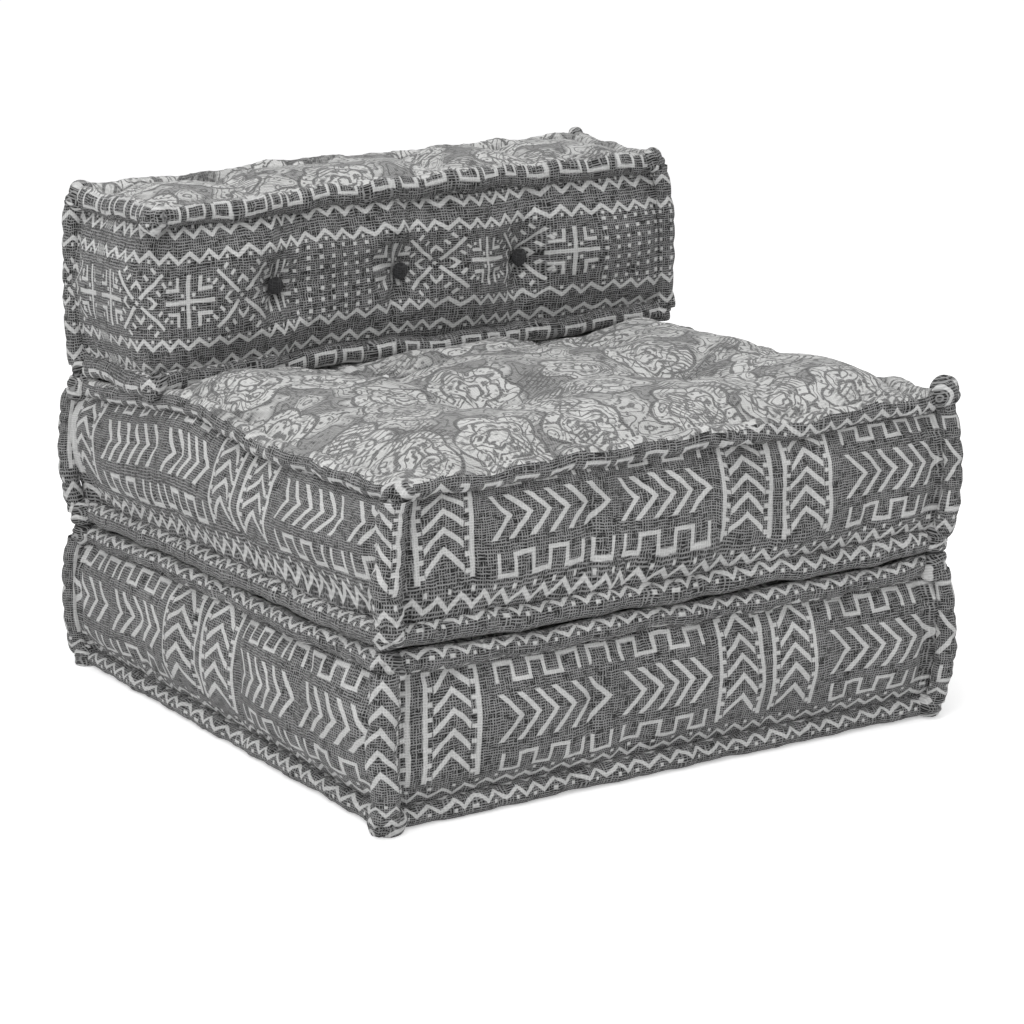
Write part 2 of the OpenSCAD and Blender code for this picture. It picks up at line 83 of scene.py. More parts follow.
def area_lamp(name, place, aim, width, power):
    lamp = bpy.data.objects.new(name, bpy.data.lights.new(name, "AREA"))
    lamp.data.shape = "DISK"
    lamp.data.size = width
    lamp.data.energy = power
    lamp.location = place
    way = np.array(aim) - np.array(place)
    dip = math.atan2(math.hypot(way[0], way[1]), -way[2])
    lamp.rotation_euler = (dip, 0.0, math.atan2(way[0], -way[1]) + math.pi)
    scene.collection.objects.link(lamp)


area_lamp("overhead_lamp", (-0.9, -0.6, 3.2), (0.0, 0.0, 0.2), width=2.6, power=42.0)
area_lamp("front_lamp", (-2.6, -2.2, 1.9), (0.0, 0.0, 0.2), width=1.8, power=20.0)

floor_glow = 0.42
surround_light = 0.62


def fill_inputs(tree, node, inputs):
    """Sets each named or numbered input of a node, or links it from another node's output."""
    for name, value in inputs.items():
        value = getattr(value, "socket", value)
        if isinstance(value, bpy.types.NodeSocket):
            tree.links.new(value, node.inputs[name])
        else:
            node.inputs[name].default_value = value
    return node


def new_node(tree, kind, inputs, **settings):
    node = tree.nodes.new(kind)
    for name, value in settings.items():
        setattr(node, name, value)
    return fill_inputs(tree, node, inputs)


def seen_directly(tree):
    """1 for what the camera sees, also by a glossy or clear surface, and 0 for light on the object."""
    path = tree.nodes.new("ShaderNodeLightPath").outputs
    seen = path["Is Camera Ray"]
    for way in ("Is Glossy Ray", "Is Transmission Ray"):
        seen = new_node(tree, "ShaderNodeMath", {0: seen, 1: path[way]}, operation="MAXIMUM").outputs[0]
    return seen


world = bpy.data.worlds.new("studio_surround")
scene.world = world
world.use_nodes = True
surround = world.node_tree
strength = new_node(surround, "ShaderNodeMapRange", {
    "Value": seen_directly(surround), "To Min": surround_light, "To Max": 1.0})
fill_inputs(surround, surround.nodes["Background"], {
    "Color": (1.0, 1.0, 1.0, 1.0), "Strength": strength.outputs["Result"]})

floor_half = 40.0
floor_corners = [(x * floor_half, y * floor_half, 0.0) for x, y in ((-1, -1), (1, -1), (1, 1), (-1, 1))]
floor = bpy.data.objects.new("floor", bpy.data.meshes.new("floor"))
floor.data.from_pydata(floor_corners, [], [(0, 1, 2, 3)])
scene.collection.objects.link(floor)
floor_paint = bpy.data.materials.new("floor_paint")
floor_paint.use_nodes = True
paint = floor_paint.node_tree
glow = new_node(paint, "ShaderNodeMath", {0: seen_directly(paint), 1: floor_glow}, operation="MULTIPLY")
fill_inputs(paint, paint.nodes["Principled BSDF"], {
    "Base Color": (0.96, 0.96, 0.96, 1.0), "Roughness": 0.95, "Specular IOR Level": 0.0,
    "Emission Color": (1.0, 1.0, 1.0, 1.0), "Emission Strength": glow.outputs[0]})
floor.data.materials.append(floor_paint)

# The base cushion: a cover of printed cotton borders between two damask panels, packed with
# cotton fibre. The cover is sewn along its edges, tied through at four tufts, and swells between.


class Ink:
    """A number that varies over the cloth, as one output of a material's nodes."""

    def __init__(self, tree, socket):
        self.tree = tree
        self.socket = socket

    def math(self, operation, *others, clamp=False):
        inputs = dict(enumerate((self,) + others))
        node = new_node(self.tree, "ShaderNodeMath", inputs, operation=operation, use_clamp=clamp)
        return Ink(self.tree, node.outputs[0])

    def __add__(self, other):
        return self.math("ADD", other)

    def __sub__(self, other):
        return self.math("SUBTRACT", other)

    def __mul__(self, other):
        return self.math("MULTIPLY", other)

    def __and__(self, other):
        return self.math("MINIMUM", other)

    def __or__(self, other):
        return self.math("MAXIMUM", other)

    def __abs__(self):
        return self.math("ABSOLUTE")

    def wrap(self, low, high):
        return self.math("WRAP", high, low)

    def fold(self, half_period):
        return self.math("PINGPONG", half_period)

    def off_marks(self, period):
        """How far the number is from the nearest of marks that stand one period apart."""
        return abs(self.wrap(-period / 2, period / 2))

    def ramp(self, gain, offset):
        """The number times gain plus offset, held between 0 and 1."""
        return self.math("MULTIPLY_ADD", gain, offset, clamp=True)

    def near(self, reach, blur=0.09):
        """1 where the number is under reach, falling to 0 over blur."""
        return self.ramp(-1.0 / blur, reach / blur + 0.5)

    def between(self, low, high):
        return abs(self - (low + high) / 2).near((high - low) / 2)


def cloth_material(name, roughness):
    """A cloth material without its colour, its nodes, and the place on the cloth in centimetres."""
    material = bpy.data.materials.new(name)
    material.use_nodes = True
    tree = material.node_tree
    shader = fill_inputs(tree, tree.nodes["Principled BSDF"], {
        "Roughness": roughness, "Specular IOR Level": 0.15, "Sheen Weight": 0.12, "Sheen Roughness": 0.6})
    return material, tree, shader, new_node(tree, "ShaderNodeUVMap", {}, uv_map="cloth").outputs["UV"]


def noise(tree, place, scale, detail=2.0, stretch=(1.0, 1.0, 1.0), colour=False):
    """Soft noise over the cloth, about 0.5, with scale in turns per centimetre."""
    at = new_node(tree, "ShaderNodeMapping", {"Vector": place, "Scale": stretch})
    grain = new_node(tree, "ShaderNodeTexNoise", {
        "Vector": at.outputs["Vector"], "Scale": scale, "Detail": detail})
    return grain.outputs["Color"] if colour else Ink(tree, grain.outputs["Fac"])


def axes(tree, place):
    """The two ways along a cloth as numbers of their own."""
    split = new_node(tree, "ShaderNodeSeparateXYZ", {0: place})
    return Ink(tree, split.outputs["X"]), Ink(tree, split.outputs["Y"])


def hand_drawn(tree, place, sway, tremble):
    """The place on the cloth, moved as a hand-cut printing block and a loose weave would."""
    for scale, amount in ((0.16, sway), (1.1, tremble)):
        shift = new_node(tree, "ShaderNodeVectorMath", {
            0: noise(tree, place, scale, 1.0, colour=True), 1: (amount * 2, amount * 2, 0.0),
            2: (-amount, -amount, 0.0)}, operation="MULTIPLY_ADD")
        place = new_node(tree, "ShaderNodeVectorMath", {0: place, 1: shift.outputs[0]}).outputs[0]
    return axes(tree, place)


thread_pitch = 0.28


def weave(tree, place):
    """Height of the coarse weave, 0 to 1: uneven slubby threads along both ways of the cloth."""
    warp_and_weft = []
    for way, drift, slub, least in zip(
            axes(tree, place), ((0.5, 1.6, 1.0), (1.6, 0.5, 1.0)), ((7.0, 0.7, 1.0), (0.7, 7.0, 1.0)),
            (-0.65, -0.55)):
        wavy = way + noise(tree, place, 1.0, 1.0, drift) * 0.3
        thickness = noise(tree, place, 1.0, 2.0, slub).ramp(3.0, least)
        warp_and_weft.append(abs((wavy * (math.pi / thread_pitch)).math("SINE")) * thickness)
    return (warp_and_weft[0] | warp_and_weft[1]).ramp(2.6, -1.42)


def mixed(tree, factor, none, full):
    """One colour at factor 0, and the other at 1."""
    mix = new_node(tree, "ShaderNodeMix", {"Factor": factor, "A": none, "B": full}, data_type="RGBA")
    return mix.outputs["Result"]


def finish_cloth(tree, shader, place, ink, ground, gap_shade, print_colour, ink_cover=0.8):
    """Joins print and weave: ground threads over painted shade in the gaps between them, with the print
    lying on the threads.
    """
    threads = weave(tree, place)
    bump = new_node(tree, "ShaderNodeBump", {"Strength": 0.55, "Distance": 0.0012, "Height": threads})
    cover = ink * threads.math("MULTIPLY_ADD", 1.0 - ink_cover, ink_cover)
    # The gap colour is painted shade: the cloth is drawn dark where the weave is low, between the threads.
    cloth = mixed(tree, threads, (*gap_shade, 1.0), (*ground, 1.0))
    printed = mixed(tree, cover, cloth, (*print_colour, 1.0))
    fade = noise(tree, place, 0.12, 3.0).math("MULTIPLY_ADD", 0.5, 0.75)
    worn = new_node(tree, "ShaderNodeVectorMath", {0: printed, "Scale": fade}, operation="SCALE")
    fill_inputs(tree, shader, {"Normal": bump.outputs["Normal"], "Base Color": worn.outputs[0]})


def zigzag(u, v, level, period, height, line):
    """A zigzag row, with the width of its line measured square to its slopes."""
    slope = 2 * height / period
    rise = u.fold(period / 2) * slope
    steep = math.cos(math.atan(slope))
    return (abs(v - rise - (level - height / 2)) * steep).near(line)


def dots(u, v, level, period, start, size):
    return ((u - start).off_marks(period) | abs(v - level)).near(size)


ground_thread = (0.29, 0.29, 0.29)
# The gap colour is painted shade in the hollows between the ground threads.
ground_gap_shade = (0.012, 0.012, 0.012)
print_pale = (0.66, 0.66, 0.655)

strip_period = 43.0
strip_middle = 12.0
tree_apart = 3.6
tree_half = 2.75
band_middle = 10.23
chevron_slope = 0.96
key_start = 8.85
key_pitch = 2.02
key_line = 0.21
second_keys = 15.5
zigzag_period = 2.45
line_half = 0.25


def strokes(way, start, pitch, steep, low, high):
    """Slanting strokes one pitch apart, from low to high, with their width measured square to them."""
    return ((way - start).off_marks(pitch) * steep).near(line_half) & way.between(low, high)


def border_print(tree, place):
    """The printed strip of the square cushions, with its height from 0 to 18 cm up the border."""
    u, v = hand_drawn(tree, place, 0.24, 0.1)
    x = (u - strip_middle).wrap(0.0, strip_period)
    from_middle = abs(v - band_middle)
    point = x + from_middle * chevron_slope
    chevrons = strokes(point, 11.2, 2.25, 0.72, 10.4, 23.2) | strokes(point, 26.7, 2.08, 0.72, 25.9, 35.8)
    ink = chevrons & from_middle.near(2.4)
    t = x - key_start - v.math("LESS_THAN", band_middle) * 0.45
    step = t - t.math("GREATER_THAN", 14.0) * second_keys
    rung = from_middle - 4.62
    level = (step * (math.pi / key_pitch)).math("SINE").math("SIGN") * 0.85
    bars = abs(rung - level).near(key_line) & step.between(-0.2, 5 * key_pitch + 0.2)
    posts = step.off_marks(key_pitch).near(key_line) & step.between(-0.3, 5 * key_pitch + 0.3)
    hook = abs(t - 12.7)
    feet = (abs(hook - 1.12) | (abs(rung - 0.12) - 0.9)).near(key_line)
    heads = ((hook - 1.12) | abs(rung - 0.85)).near(key_line)
    hooks = (feet | heads) & hook.near(1.4)
    ink = ink | ((bars | posts | hooks) & abs(rung).near(1.06))
    from_trunk = abs(x.off_marks(strip_period) - tree_apart)
    ink = ink | (strokes(v + from_trunk, 7.6, 2.15, 0.707, 6.5, 17.2) & from_trunk.near(1.95))
    ticks = (v - 5.4).off_marks(1.5).near(0.23) & from_trunk.between(tree_half - 0.7, tree_half)
    poles = abs(from_trunk - tree_half).near(0.25) | ticks
    ink = ink | (poles & v.between(4.8, 16.1))
    ink = ink | zigzag(u, v, 3.25, zigzag_period, 0.85, 0.18)
    ink = ink | dots(u, v, 3.95, zigzag_period, 0.0, 0.19)
    edge = (v - 1.65).wrap(-8.15, 8.15)
    ink = ink | zigzag(u + 0.6, edge, 0.0, zigzag_period, 1.0, 0.2)
    return ink | dots(u + 0.6, edge, -0.62, zigzag_period, zigzag_period / 2, 0.2)


border_cloth, tree, shader, place = cloth_material("printed_border_cloth", 0.92)
finish_cloth(tree, shader, place, border_print(tree, place), ground_thread, ground_gap_shade, print_pale)

damask_thread = (0.185, 0.185, 0.185)
# The gap colour is painted shade in the hollows between the damask's threads.
damask_gap_shade = (0.06, 0.06, 0.06)
damask_pale = (0.70, 0.70, 0.69)
flower_pitch = 12.5


def damask_print(tree, place):
    """Pale flowers about 12 cm across, among leaves, all with dark outlines, hatching and dots."""
    u, v = hand_drawn(tree, place, 0.9, 0.16)
    at = new_node(tree, "ShaderNodeCombineXYZ", {"X": u, "Y": v}).outputs[0]
    cells = new_node(tree, "ShaderNodeTexVoronoi", {
        "Vector": at, "Scale": 1 / flower_pitch, "Randomness": 0.6}, voronoi_dimensions="2D")
    heart = new_node(tree, "ShaderNodeVectorMath", {
        0: at, 1: cells.outputs["Position"]}, operation="SUBTRACT")
    x, y = axes(tree, heart.outputs[0])
    turn = y.math("ARCTAN2", x)
    r = Ink(tree, cells.outputs["Distance"]) * flower_pitch
    lobes = abs((turn * 2.5).math("SINE"))
    petals = r - lobes * (r * 0.24)
    flower = petals.near(4.3, 0.2)
    outline = abs(petals - 4.3).near(0.2) | abs(petals - 2.7).near(0.15) | abs(petals - 1.15).near(0.17)
    beads = (turn * 5.0).math("SINE").ramp(3.0, -1.4) & petals.between(1.6, 2.1)
    veins = (lobes * r).near(0.16) & petals.between(2.8, 4.0)
    contour = noise(tree, at, 0.2, 1.5)
    curls = (contour * 13.0).off_marks(1.0).near(0.11, 0.08)
    leaves = contour.ramp(14.0, -6.2)
    patch = noise(tree, at, 0.13, 1.0)
    hatch = (u * 0.85 + v * 0.6).off_marks(0.54).near(0.12) & patch.ramp(16.0, -8.8)
    cross_hatch = (u * 0.5 - v * 0.9).off_marks(0.6).near(0.12) & patch.ramp(-16.0, 6.8)
    seeds = new_node(tree, "ShaderNodeTexVoronoi", {"Vector": at, "Scale": 1.05}, voronoi_dimensions="2D")
    specks = Ink(tree, seeds.outputs["Distance"]).near(0.19, 0.1)
    specks = specks & noise(tree, at, 0.3, 1.0).ramp(12.0, -4.6)
    scribble = noise(tree, at, 1.15, 3.0).ramp(11.0, -6.3)
    pale = flower | (leaves * 0.85) | 0.35
    dark = outline | beads | veins | curls | hatch | cross_hatch | specks | (scribble * 0.7)
    return pale * (dark * -0.85 + 1.0)


damask_cloth, tree, shader, place = cloth_material("damask_panel_cloth", 0.93)
finish_cloth(tree, shader, place, damask_print(tree, place), damask_thread, damask_gap_shade, damask_pale, 0.85)
covers = [border_cloth, damask_cloth]

low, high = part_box("base_bottom_rolled_edge")
pouf_half = np.array([(high.x - low.x) / 2, (high.y - low.y) / 2])
pouf_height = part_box("base_top_rolled_edge")[1].z
roll_radius = 0.012
seam_in = 0.015
side_draw = 0.004
belly = 0.019
left_belly = 0.025
cell = 0.0095
seam_share = 0.93


def side_pull(along, half):
    return side_draw * (1 - (along / half) ** 2)


def bulge(c):
    """How full a border is at its height c, as a share: not at all at its two seams."""
    return np.clip(1 - (np.abs(c) / seam_share) ** 2, 0, 1) ** 0.7


def swell(c, along, reach, size):
    """How far a border stands out: stitched in at both seams, and drawn in beside its corners."""
    return size * bulge(c) * (1 - 0.6 * np.exp(-((reach - np.abs(along)) / 0.012) ** 2))


def corner_reach(a, b, c, bow):
    """How far a cover's upright corner runs out into the corner roll, so that it closes behind it."""
    return (0.011 + bow * (1 - c ** 2)) * ((np.abs(a) >= 1) & (np.abs(b) >= 1))


def wander(s, seed, waves, size):
    """A smooth uneven line: a few sine waves of about the given lengths in metres."""
    rng = np.random.default_rng(seed)
    total = np.zeros_like(s)
    for wave in waves:
        total = total + np.sin(s * 2 * np.pi / (wave * rng.uniform(0.8, 1.2)) + rng.uniform(0, 6.28))
    return total * size / len(waves)


def settled(points, low, high, corners):
    """Points of a cushion moved as its eight corners have settled: corners maps signs to metres."""
    middle = (low + high) / 2
    share = np.clip((points - middle) / ((high - low) / 2), -1.2, 1.2)
    share = share * np.abs(share)
    moved = points.copy()
    for signs, shift in corners.items():
        weight = np.prod([(1 + sign * share[:, k]) / 2 for k, sign in enumerate(signs)], axis=0)
        moved = moved + np.clip(weight, 0, 1.2)[:, None] * np.array(shift)
    return moved


def mesh_piece(name, points, faces, places, panel, materials):
    """A mesh from arrays: points, squares, each corner's place on the cloth, and its material."""
    mesh = bpy.data.meshes.new(name)
    mesh.from_pydata(points.tolist(), [], [list(dict.fromkeys(face)) for face in faces.tolist()])
    corners = [k for k, face in enumerate(faces.tolist()) for _ in dict.fromkeys(face)]
    order = [face.index(v) for face in faces.tolist() for v in dict.fromkeys(face)]
    uv = mesh.uv_layers.new(name="cloth")
    uv.data.foreach_set("uv", places[corners, order].astype(np.float32).ravel())
    for material in materials:
        mesh.materials.append(material)
    mesh.polygons.foreach_set("material_index", np.asarray(panel, int))
    mesh.polygons.foreach_set("use_smooth", np.ones(len(faces), bool))
    piece = bpy.data.objects.new(name, mesh)
    scene.collection.objects.link(piece)
    return piece


def box_cover(name, half, cells, form, strip, materials):
    """A closed cover of small squares: two panels and four borders, with the cloth's own places."""
    nx, ny, nz = cells
    faces = []
    sides = []
    for i in range(nx):
        for j in range(ny):
            faces.append([(i, j, nz), (i + 1, j, nz), (i + 1, j + 1, nz), (i, j + 1, nz)])
            faces.append([(i, j, 0), (i, j + 1, 0), (i + 1, j + 1, 0), (i + 1, j, 0)])
            sides += ["top", "bottom"]
    for k in range(nz):
        for i in range(nx):
            faces.append([(i, 0, k), (i + 1, 0, k), (i + 1, 0, k + 1), (i, 0, k + 1)])
            faces.append([(i, ny, k), (i, ny, k + 1), (i + 1, ny, k + 1), (i + 1, ny, k)])
            sides += ["front", "rear"]
        for j in range(ny):
            faces.append([(0, j, k), (0, j, k + 1), (0, j + 1, k + 1), (0, j + 1, k)])
            faces.append([(nx, j, k), (nx, j + 1, k), (nx, j + 1, k + 1), (nx, j, k + 1)])
            sides += ["left", "right"]
    index = {}
    loops = np.array([[index.setdefault(corner, len(index)) for corner in face] for face in faces])
    grid = np.array(list(index), float) / np.array(cells) * 2 - 1
    x, y, c = grid[loops.ravel()].T
    places = cloth_places(x * half[0], y * half[1], c, np.repeat(np.array(sides), 4), half, strip)
    panel = [side in ("top", "bottom") for side in sides]
    return mesh_piece(name, form(grid), loops, places.reshape(-1, 4, 2), panel, materials), grid


def perimeter(x, y, kinds, half):
    """How far round the cushion a place is, in centimetres: 0 at the middle of the front."""
    w, d = half
    return 100 * np.select(
        [kinds == "front", kinds == "right", kinds == "rear", kinds == "left"],
        [x, w + (y + d), w + 2 * d + (w - x), -w - (y + d)], 0.0)


def cloth_places(x, y, c, kinds, half, strip):
    """The place of each face corner on its cloth, in centimetres."""
    flat = (kinds == "top") | (kinds == "bottom")
    u, v = strip((c + 1) / 2, perimeter(x, y, kinds, half), kinds == "left")
    return np.stack([np.where(flat, 100 * x, u), np.where(flat, 100 * y, v)], axis=1)


swelling_frames = 22
cloth_stiffness = 12.0


def plump(cover, held, cap, pressure, slack):
    """Swells a cover between its seams and ties, as stuffing does, moving no point beyond cap."""
    rest = np.array([v.co for v in cover.data.vertices])
    sewn = cover.vertex_groups.new(name="sewn")
    for weight in np.unique(held[held > 0]):
        sewn.add(np.nonzero(held == weight)[0].tolist(), float(weight), "REPLACE")
    cloth = cover.modifiers.new("stuffing", "CLOTH")
    settings = cloth.settings
    settings.quality = 6
    settings.mass = 0.25
    settings.tension_stiffness = cloth_stiffness
    settings.compression_stiffness = cloth_stiffness
    settings.shear_stiffness = cloth_stiffness * 0.4
    settings.bending_stiffness = 0.35
    settings.air_damping = 2.0
    settings.use_pressure = True
    settings.uniform_pressure_force = pressure
    settings.shrink_min = -slack
    settings.vertex_group_mass = "sewn"
    settings.effector_weights.gravity = 0.0
    cloth.collision_settings.use_collision = False
    for step in range(1, swelling_frames + 1):
        scene.frame_set(step)
    swollen = cover.evaluated_get(bpy.context.evaluated_depsgraph_get())
    moved = np.array([v.co for v in swollen.data.vertices])
    cover.modifiers.remove(cloth)
    cover.vertex_groups.clear()
    scene.frame_set(1)
    shift = moved - rest
    length = np.linalg.norm(shift, axis=1, keepdims=True)
    cap = np.reshape(cap, (-1, 1))
    return rest + shift * cap * np.tanh(length / cap) / np.maximum(length, 1e-9)


def put_points(mesh, points):
    mesh.vertices.foreach_set("co", points.astype(np.float32).ravel())
    mesh.update()


def keep_modified(piece):
    """Makes what an object's modifiers give its own mesh."""
    shown = piece.evaluated_get(bpy.context.evaluated_depsgraph_get())
    finished = bpy.data.meshes.new_from_object(shown)
    piece.modifiers.clear()
    piece.data = finished


def smooth_cover(cover, points):
    """Takes the final points, and doubles the grid so that the folds are round."""
    put_points(cover.data, points)
    rounder = cover.modifiers.new("rounder", "SUBSURF")
    rounder.levels = 1
    rounder.render_levels = 1
    keep_modified(cover)


tuft_x = (-0.095, 0.155)
tuft_y = (-0.125, 0.085)


def tuft_distance(x, y):
    return np.min([np.hypot(x - a, y - b) for a in tuft_x for b in tuft_y], axis=0)


panel_rim = 0.05
tuft_reach = 0.085
flat_tuft_reach = 0.045
back_cushion_y = 0.155


def dimple(distance, reach):
    """1 at a tie, falling softly to 0 at its reach."""
    return 0.5 + 0.5 * np.cos(np.pi * np.clip(distance / reach, 0, 1))


def inward(a, b, w, d):
    """0 at a panel's seams, rising to 1 over its rim."""
    return np.sqrt(np.clip((1 - np.abs(a)) * w / panel_rim, 0, 1)
                   * np.clip((1 - np.abs(b)) * d / panel_rim, 0, 1))


def pouf_form(grid, crown, tuft_depth, flat_depth, lean):
    """Rest shape of a square cushion's cover, just inside its final one, its left side leaning."""
    a, b, c = grid.T
    w, d = pouf_half - seam_in
    x = a * w
    y = b * d
    corner = corner_reach(a, b, c, 0.008)
    raised = np.where(a < 0, c - lean * (1 - c ** 2), c)
    x_out = swell(raised, y, d, np.where(a < 0, left_belly, belly)) + corner
    front = np.where(b < 0, 0.7 + 0.3 * np.clip((a * w + 0.25) / 0.13, 0, 1), 1.0)
    y_out = swell(c, a * w, w, belly * front) + corner
    x = x - np.sign(a) * np.abs(a) ** 6 * (side_pull(y, d) - x_out)
    y = y - np.sign(b) * np.abs(b) ** 6 * (side_pull(a * w, w) - y_out)
    z = pouf_height / 2 + c * (pouf_height / 2 - seam_in)
    inner = inward(a, b, w, d)
    tuft = tuft_distance(x, y)
    free = np.clip((back_cushion_y - y) / 0.05, 0, 1)
    rise = (seam_in - 0.002 + crown * free) * inner - tuft_depth * dimple(tuft, tuft_reach)
    sink = (seam_in - 0.0005) * inner - flat_depth * np.clip(1 - tuft / flat_tuft_reach, 0, 1)
    z = np.where(c >= 1, z + rise, np.where(c <= -1, z - sink, z))
    return np.stack([x, y, z], axis=1)


def pouf_held(grid, points):
    """How firmly each point is held: seams, ties and the side it lies on."""
    a, b, c = grid.T
    side = np.maximum(np.abs(a), np.abs(b))
    held = np.where(c <= -1, 1.0, 0.0)
    held = np.where((np.abs(c) >= 0.9) & (side >= 1), 1.0, held)
    held = np.where((side >= 1) & (np.minimum(np.abs(a), np.abs(b)) > 0.965), 1.0, held)
    return np.where((c >= 1) & (tuft_distance(points[:, 0], points[:, 1]) < 0.008), 1.0, held)


base_corners = {
    (-1, -1, -1): (-0.004, 0.000, 0.000), (-1, -1, 1): (-0.002, -0.002, 0.000),
    (1, -1, -1): (0.001, 0.000, 0.002), (1, -1, 1): (0.002, 0.000, 0.000),
    (-1, 1, -1): (-0.003, 0.000, 0.000), (-1, 1, 1): (0.000, 0.000, -0.012),
}
pouf_low = np.array([-pouf_half[0], -pouf_half[1], 0.0])
pouf_high = np.array([pouf_half[0], pouf_half[1], pouf_height])
pouf_cells = [int(round(size / cell)) for size in (2 * pouf_half[0], 2 * pouf_half[1], 0.165)]
corner_lift_size = 0.008
corner_lift_reach = 0.07


def corner_lift(points, level):
    """The seat and base part a little lower in the middle of the front than at its two corners."""
    sideways = np.clip(np.abs(points[:, 0]) / pouf_half[0], 0, 1)
    near = sideways * np.clip(-points[:, 1] / pouf_half[1], 0, 1)
    moved = points.copy()
    close = np.clip(1 - np.abs(points[:, 2] - level) / corner_lift_reach, 0, 1)
    moved[:, 2] += corner_lift_size * near ** 5 * close
    return moved


def base_settle(points):
    return corner_lift(settled(points, pouf_low, pouf_high, base_corners), pouf_height)


def base_flow(u, left):
    """The printed strip's place round the base: drawn and eased in front, and pieced at the corner."""
    front = (-42.0, -31.4, -25.3, -20.5, -16.3, -11.7, -9.1, -4.9, -2.3, 2.0, 300.0)
    front_prints = (-40.6, -30.15, -24.65, -19.8, -15.3, -10.8, -8.55, -4.3, -2.2, 2.0, 300.0)
    side = (-110.0, -96.6, -92.75, -82.9, -81.9, -74.75, -73.1, -65.8, -62.3, -51.6, -47.25, -36.0)
    side_prints = (-107.95, -94.55, -90.3, -82.0, -80.35, -74.85, -73.15, -67.65, -62.8, -51.55, -47.3,
                   -39.0)
    return np.where(left, np.interp(u, side, side_prints), np.interp(u, front, front_prints))


def base_strip(t, u, left):
    heights = (1.5, 2.6, 3.5, 5.6, 10.2, 14.5, 16.5)
    levels = (1.6, 2.65, 3.75, 6.1, 10.5, 15.1, 17.1)
    return base_flow(u, left), np.interp(1.5 + 15.0 * t, heights, levels)


def unit(ways):
    return ways / np.linalg.norm(ways, axis=-1, keepdims=True)


def surface(mesh):
    """Where a mesh's points are, and which way each faces."""
    found = []
    for kind in ("co", "normal"):
        flat = np.empty(3 * len(mesh.vertices), np.float32)
        mesh.vertices.foreach_get(kind, flat)
        found.append(flat.reshape(-1, 3).astype(float))
    return found


fold_pitch = 0.026
lump_waves = (0.17, 0.12, 0.085, 0.06, 0.045)


def crumpled(cover, seams, seed, pucker, lump):
    """Small folds that stand square to the seams, and broad uneven lumps, pushed along the normals."""
    place, way = surface(cover.data)
    upright = np.clip(1.4 - 1.6 * np.abs(way[:, 2]), 0, 1)
    along = np.where(np.abs(way[:, 0]) > np.abs(way[:, 1]), place[:, 1] + 3, place[:, 0])
    away = np.clip(np.minimum(place[:, 2] - seams[0], seams[1] - place[:, 2]), 0, 1)
    lower = place[:, 2] - seams[0] < seams[1] - place[:, 2]
    turn = 2 * np.pi * along / fold_pitch + wander(along + 0.3 * lower, seed, (0.11, 0.07), 2.6)
    turn = turn + 2.0 * lower
    length = 0.016 + wander(along + 0.5 * lower, seed + 1, (0.06, 0.13), 0.009)
    folds = pucker * (np.cos(turn) - 0.4 * np.cos(2 * turn))
    folds = folds * np.exp(-(away / np.maximum(length, 0.006)) ** 2)
    rng = np.random.default_rng(seed + 2)
    broad = np.zeros(len(place))
    for wave in lump_waves:
        for _ in range(2):
            toward = unit(rng.normal(size=3))
            broad = broad + wave * np.sin(place @ toward * 2 * np.pi / wave + rng.uniform(0, 6.28))
    broad = lump * broad / lump_waves[0]
    above = np.clip(way[:, 2], 0, 1) * (place[:, 2] > seams[1])
    shift = folds * upright + broad * np.maximum(upright * np.clip(away / 0.02, 0, 1), 0.6 * above)
    put_points(cover.data, place + way * shift[:, None])


base_cover, grid = box_cover(
    "base_cushion", pouf_half, pouf_cells,
    lambda g: pouf_form(g, crown=0.0, tuft_depth=0.010, flat_depth=0.010, lean=0.0), base_strip, covers)
points = np.array([v.co for v in base_cover.data.vertices])
cap = np.where(grid[:, 2] >= 1, 0.0025, 0.010)
points = plump(base_cover, pouf_held(grid, points), cap, pressure=5.0, slack=0.02)
smooth_cover(base_cover, base_settle(points))
crumpled(base_cover, (0.025, 0.155), seed=5, pucker=0.0011, lump=0.0017)
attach(base_cover, "base_cushion")
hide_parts("base_filling", "base_top_panel", "base_bottom_panel", "base_front_border",
            "base_right_border", "base_rear_border", "base_left_border")

# The seat cushion: the same cover as the base's, free on top, where the four ties pull deep
# dimples into a high crown. The back cushion's weight has pressed its rear left corner down.
seat_low_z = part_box("seat_bottom_rolled_edge")[0].z
seat_corners = {
    (-1, -1, -1): (-0.002, -0.002, 0.000), (-1, -1, 1): (0.014, 0.003, -0.008),
    (1, -1, -1): (0.002, 0.000, 0.000), (1, -1, 1): (0.002, 0.000, 0.010), (1, 1, 1): (0.000, 0.000, 0.006),
    (-1, 1, -1): (0.000, 0.000, -0.012), (-1, 1, 1): (0.000, 0.000, -0.017),
}
seat_up = np.array([0.0, 0.0, seat_low_z])
seat_raise = 0.020
raise_start_x = -0.24
raise_run_x = 0.09
raise_y = 0.10
raise_reach_y = 0.10


def seat_settle(points):
    """The seat's left edge is squeezed up where the back cushion's lower corner presses into it."""
    x, y, z = points.T
    beside = np.clip((raise_start_x - x) / raise_run_x, 0, 1) * np.exp(-((y - raise_y) / raise_reach_y) ** 2)
    raised = points.copy()
    raised[:, 2] += seat_raise * beside * np.clip(z / pouf_height / 0.65 - 0.54, 0, 1)
    return corner_lift(settled(raised, pouf_low, pouf_high, seat_corners), 0.0) + seat_up


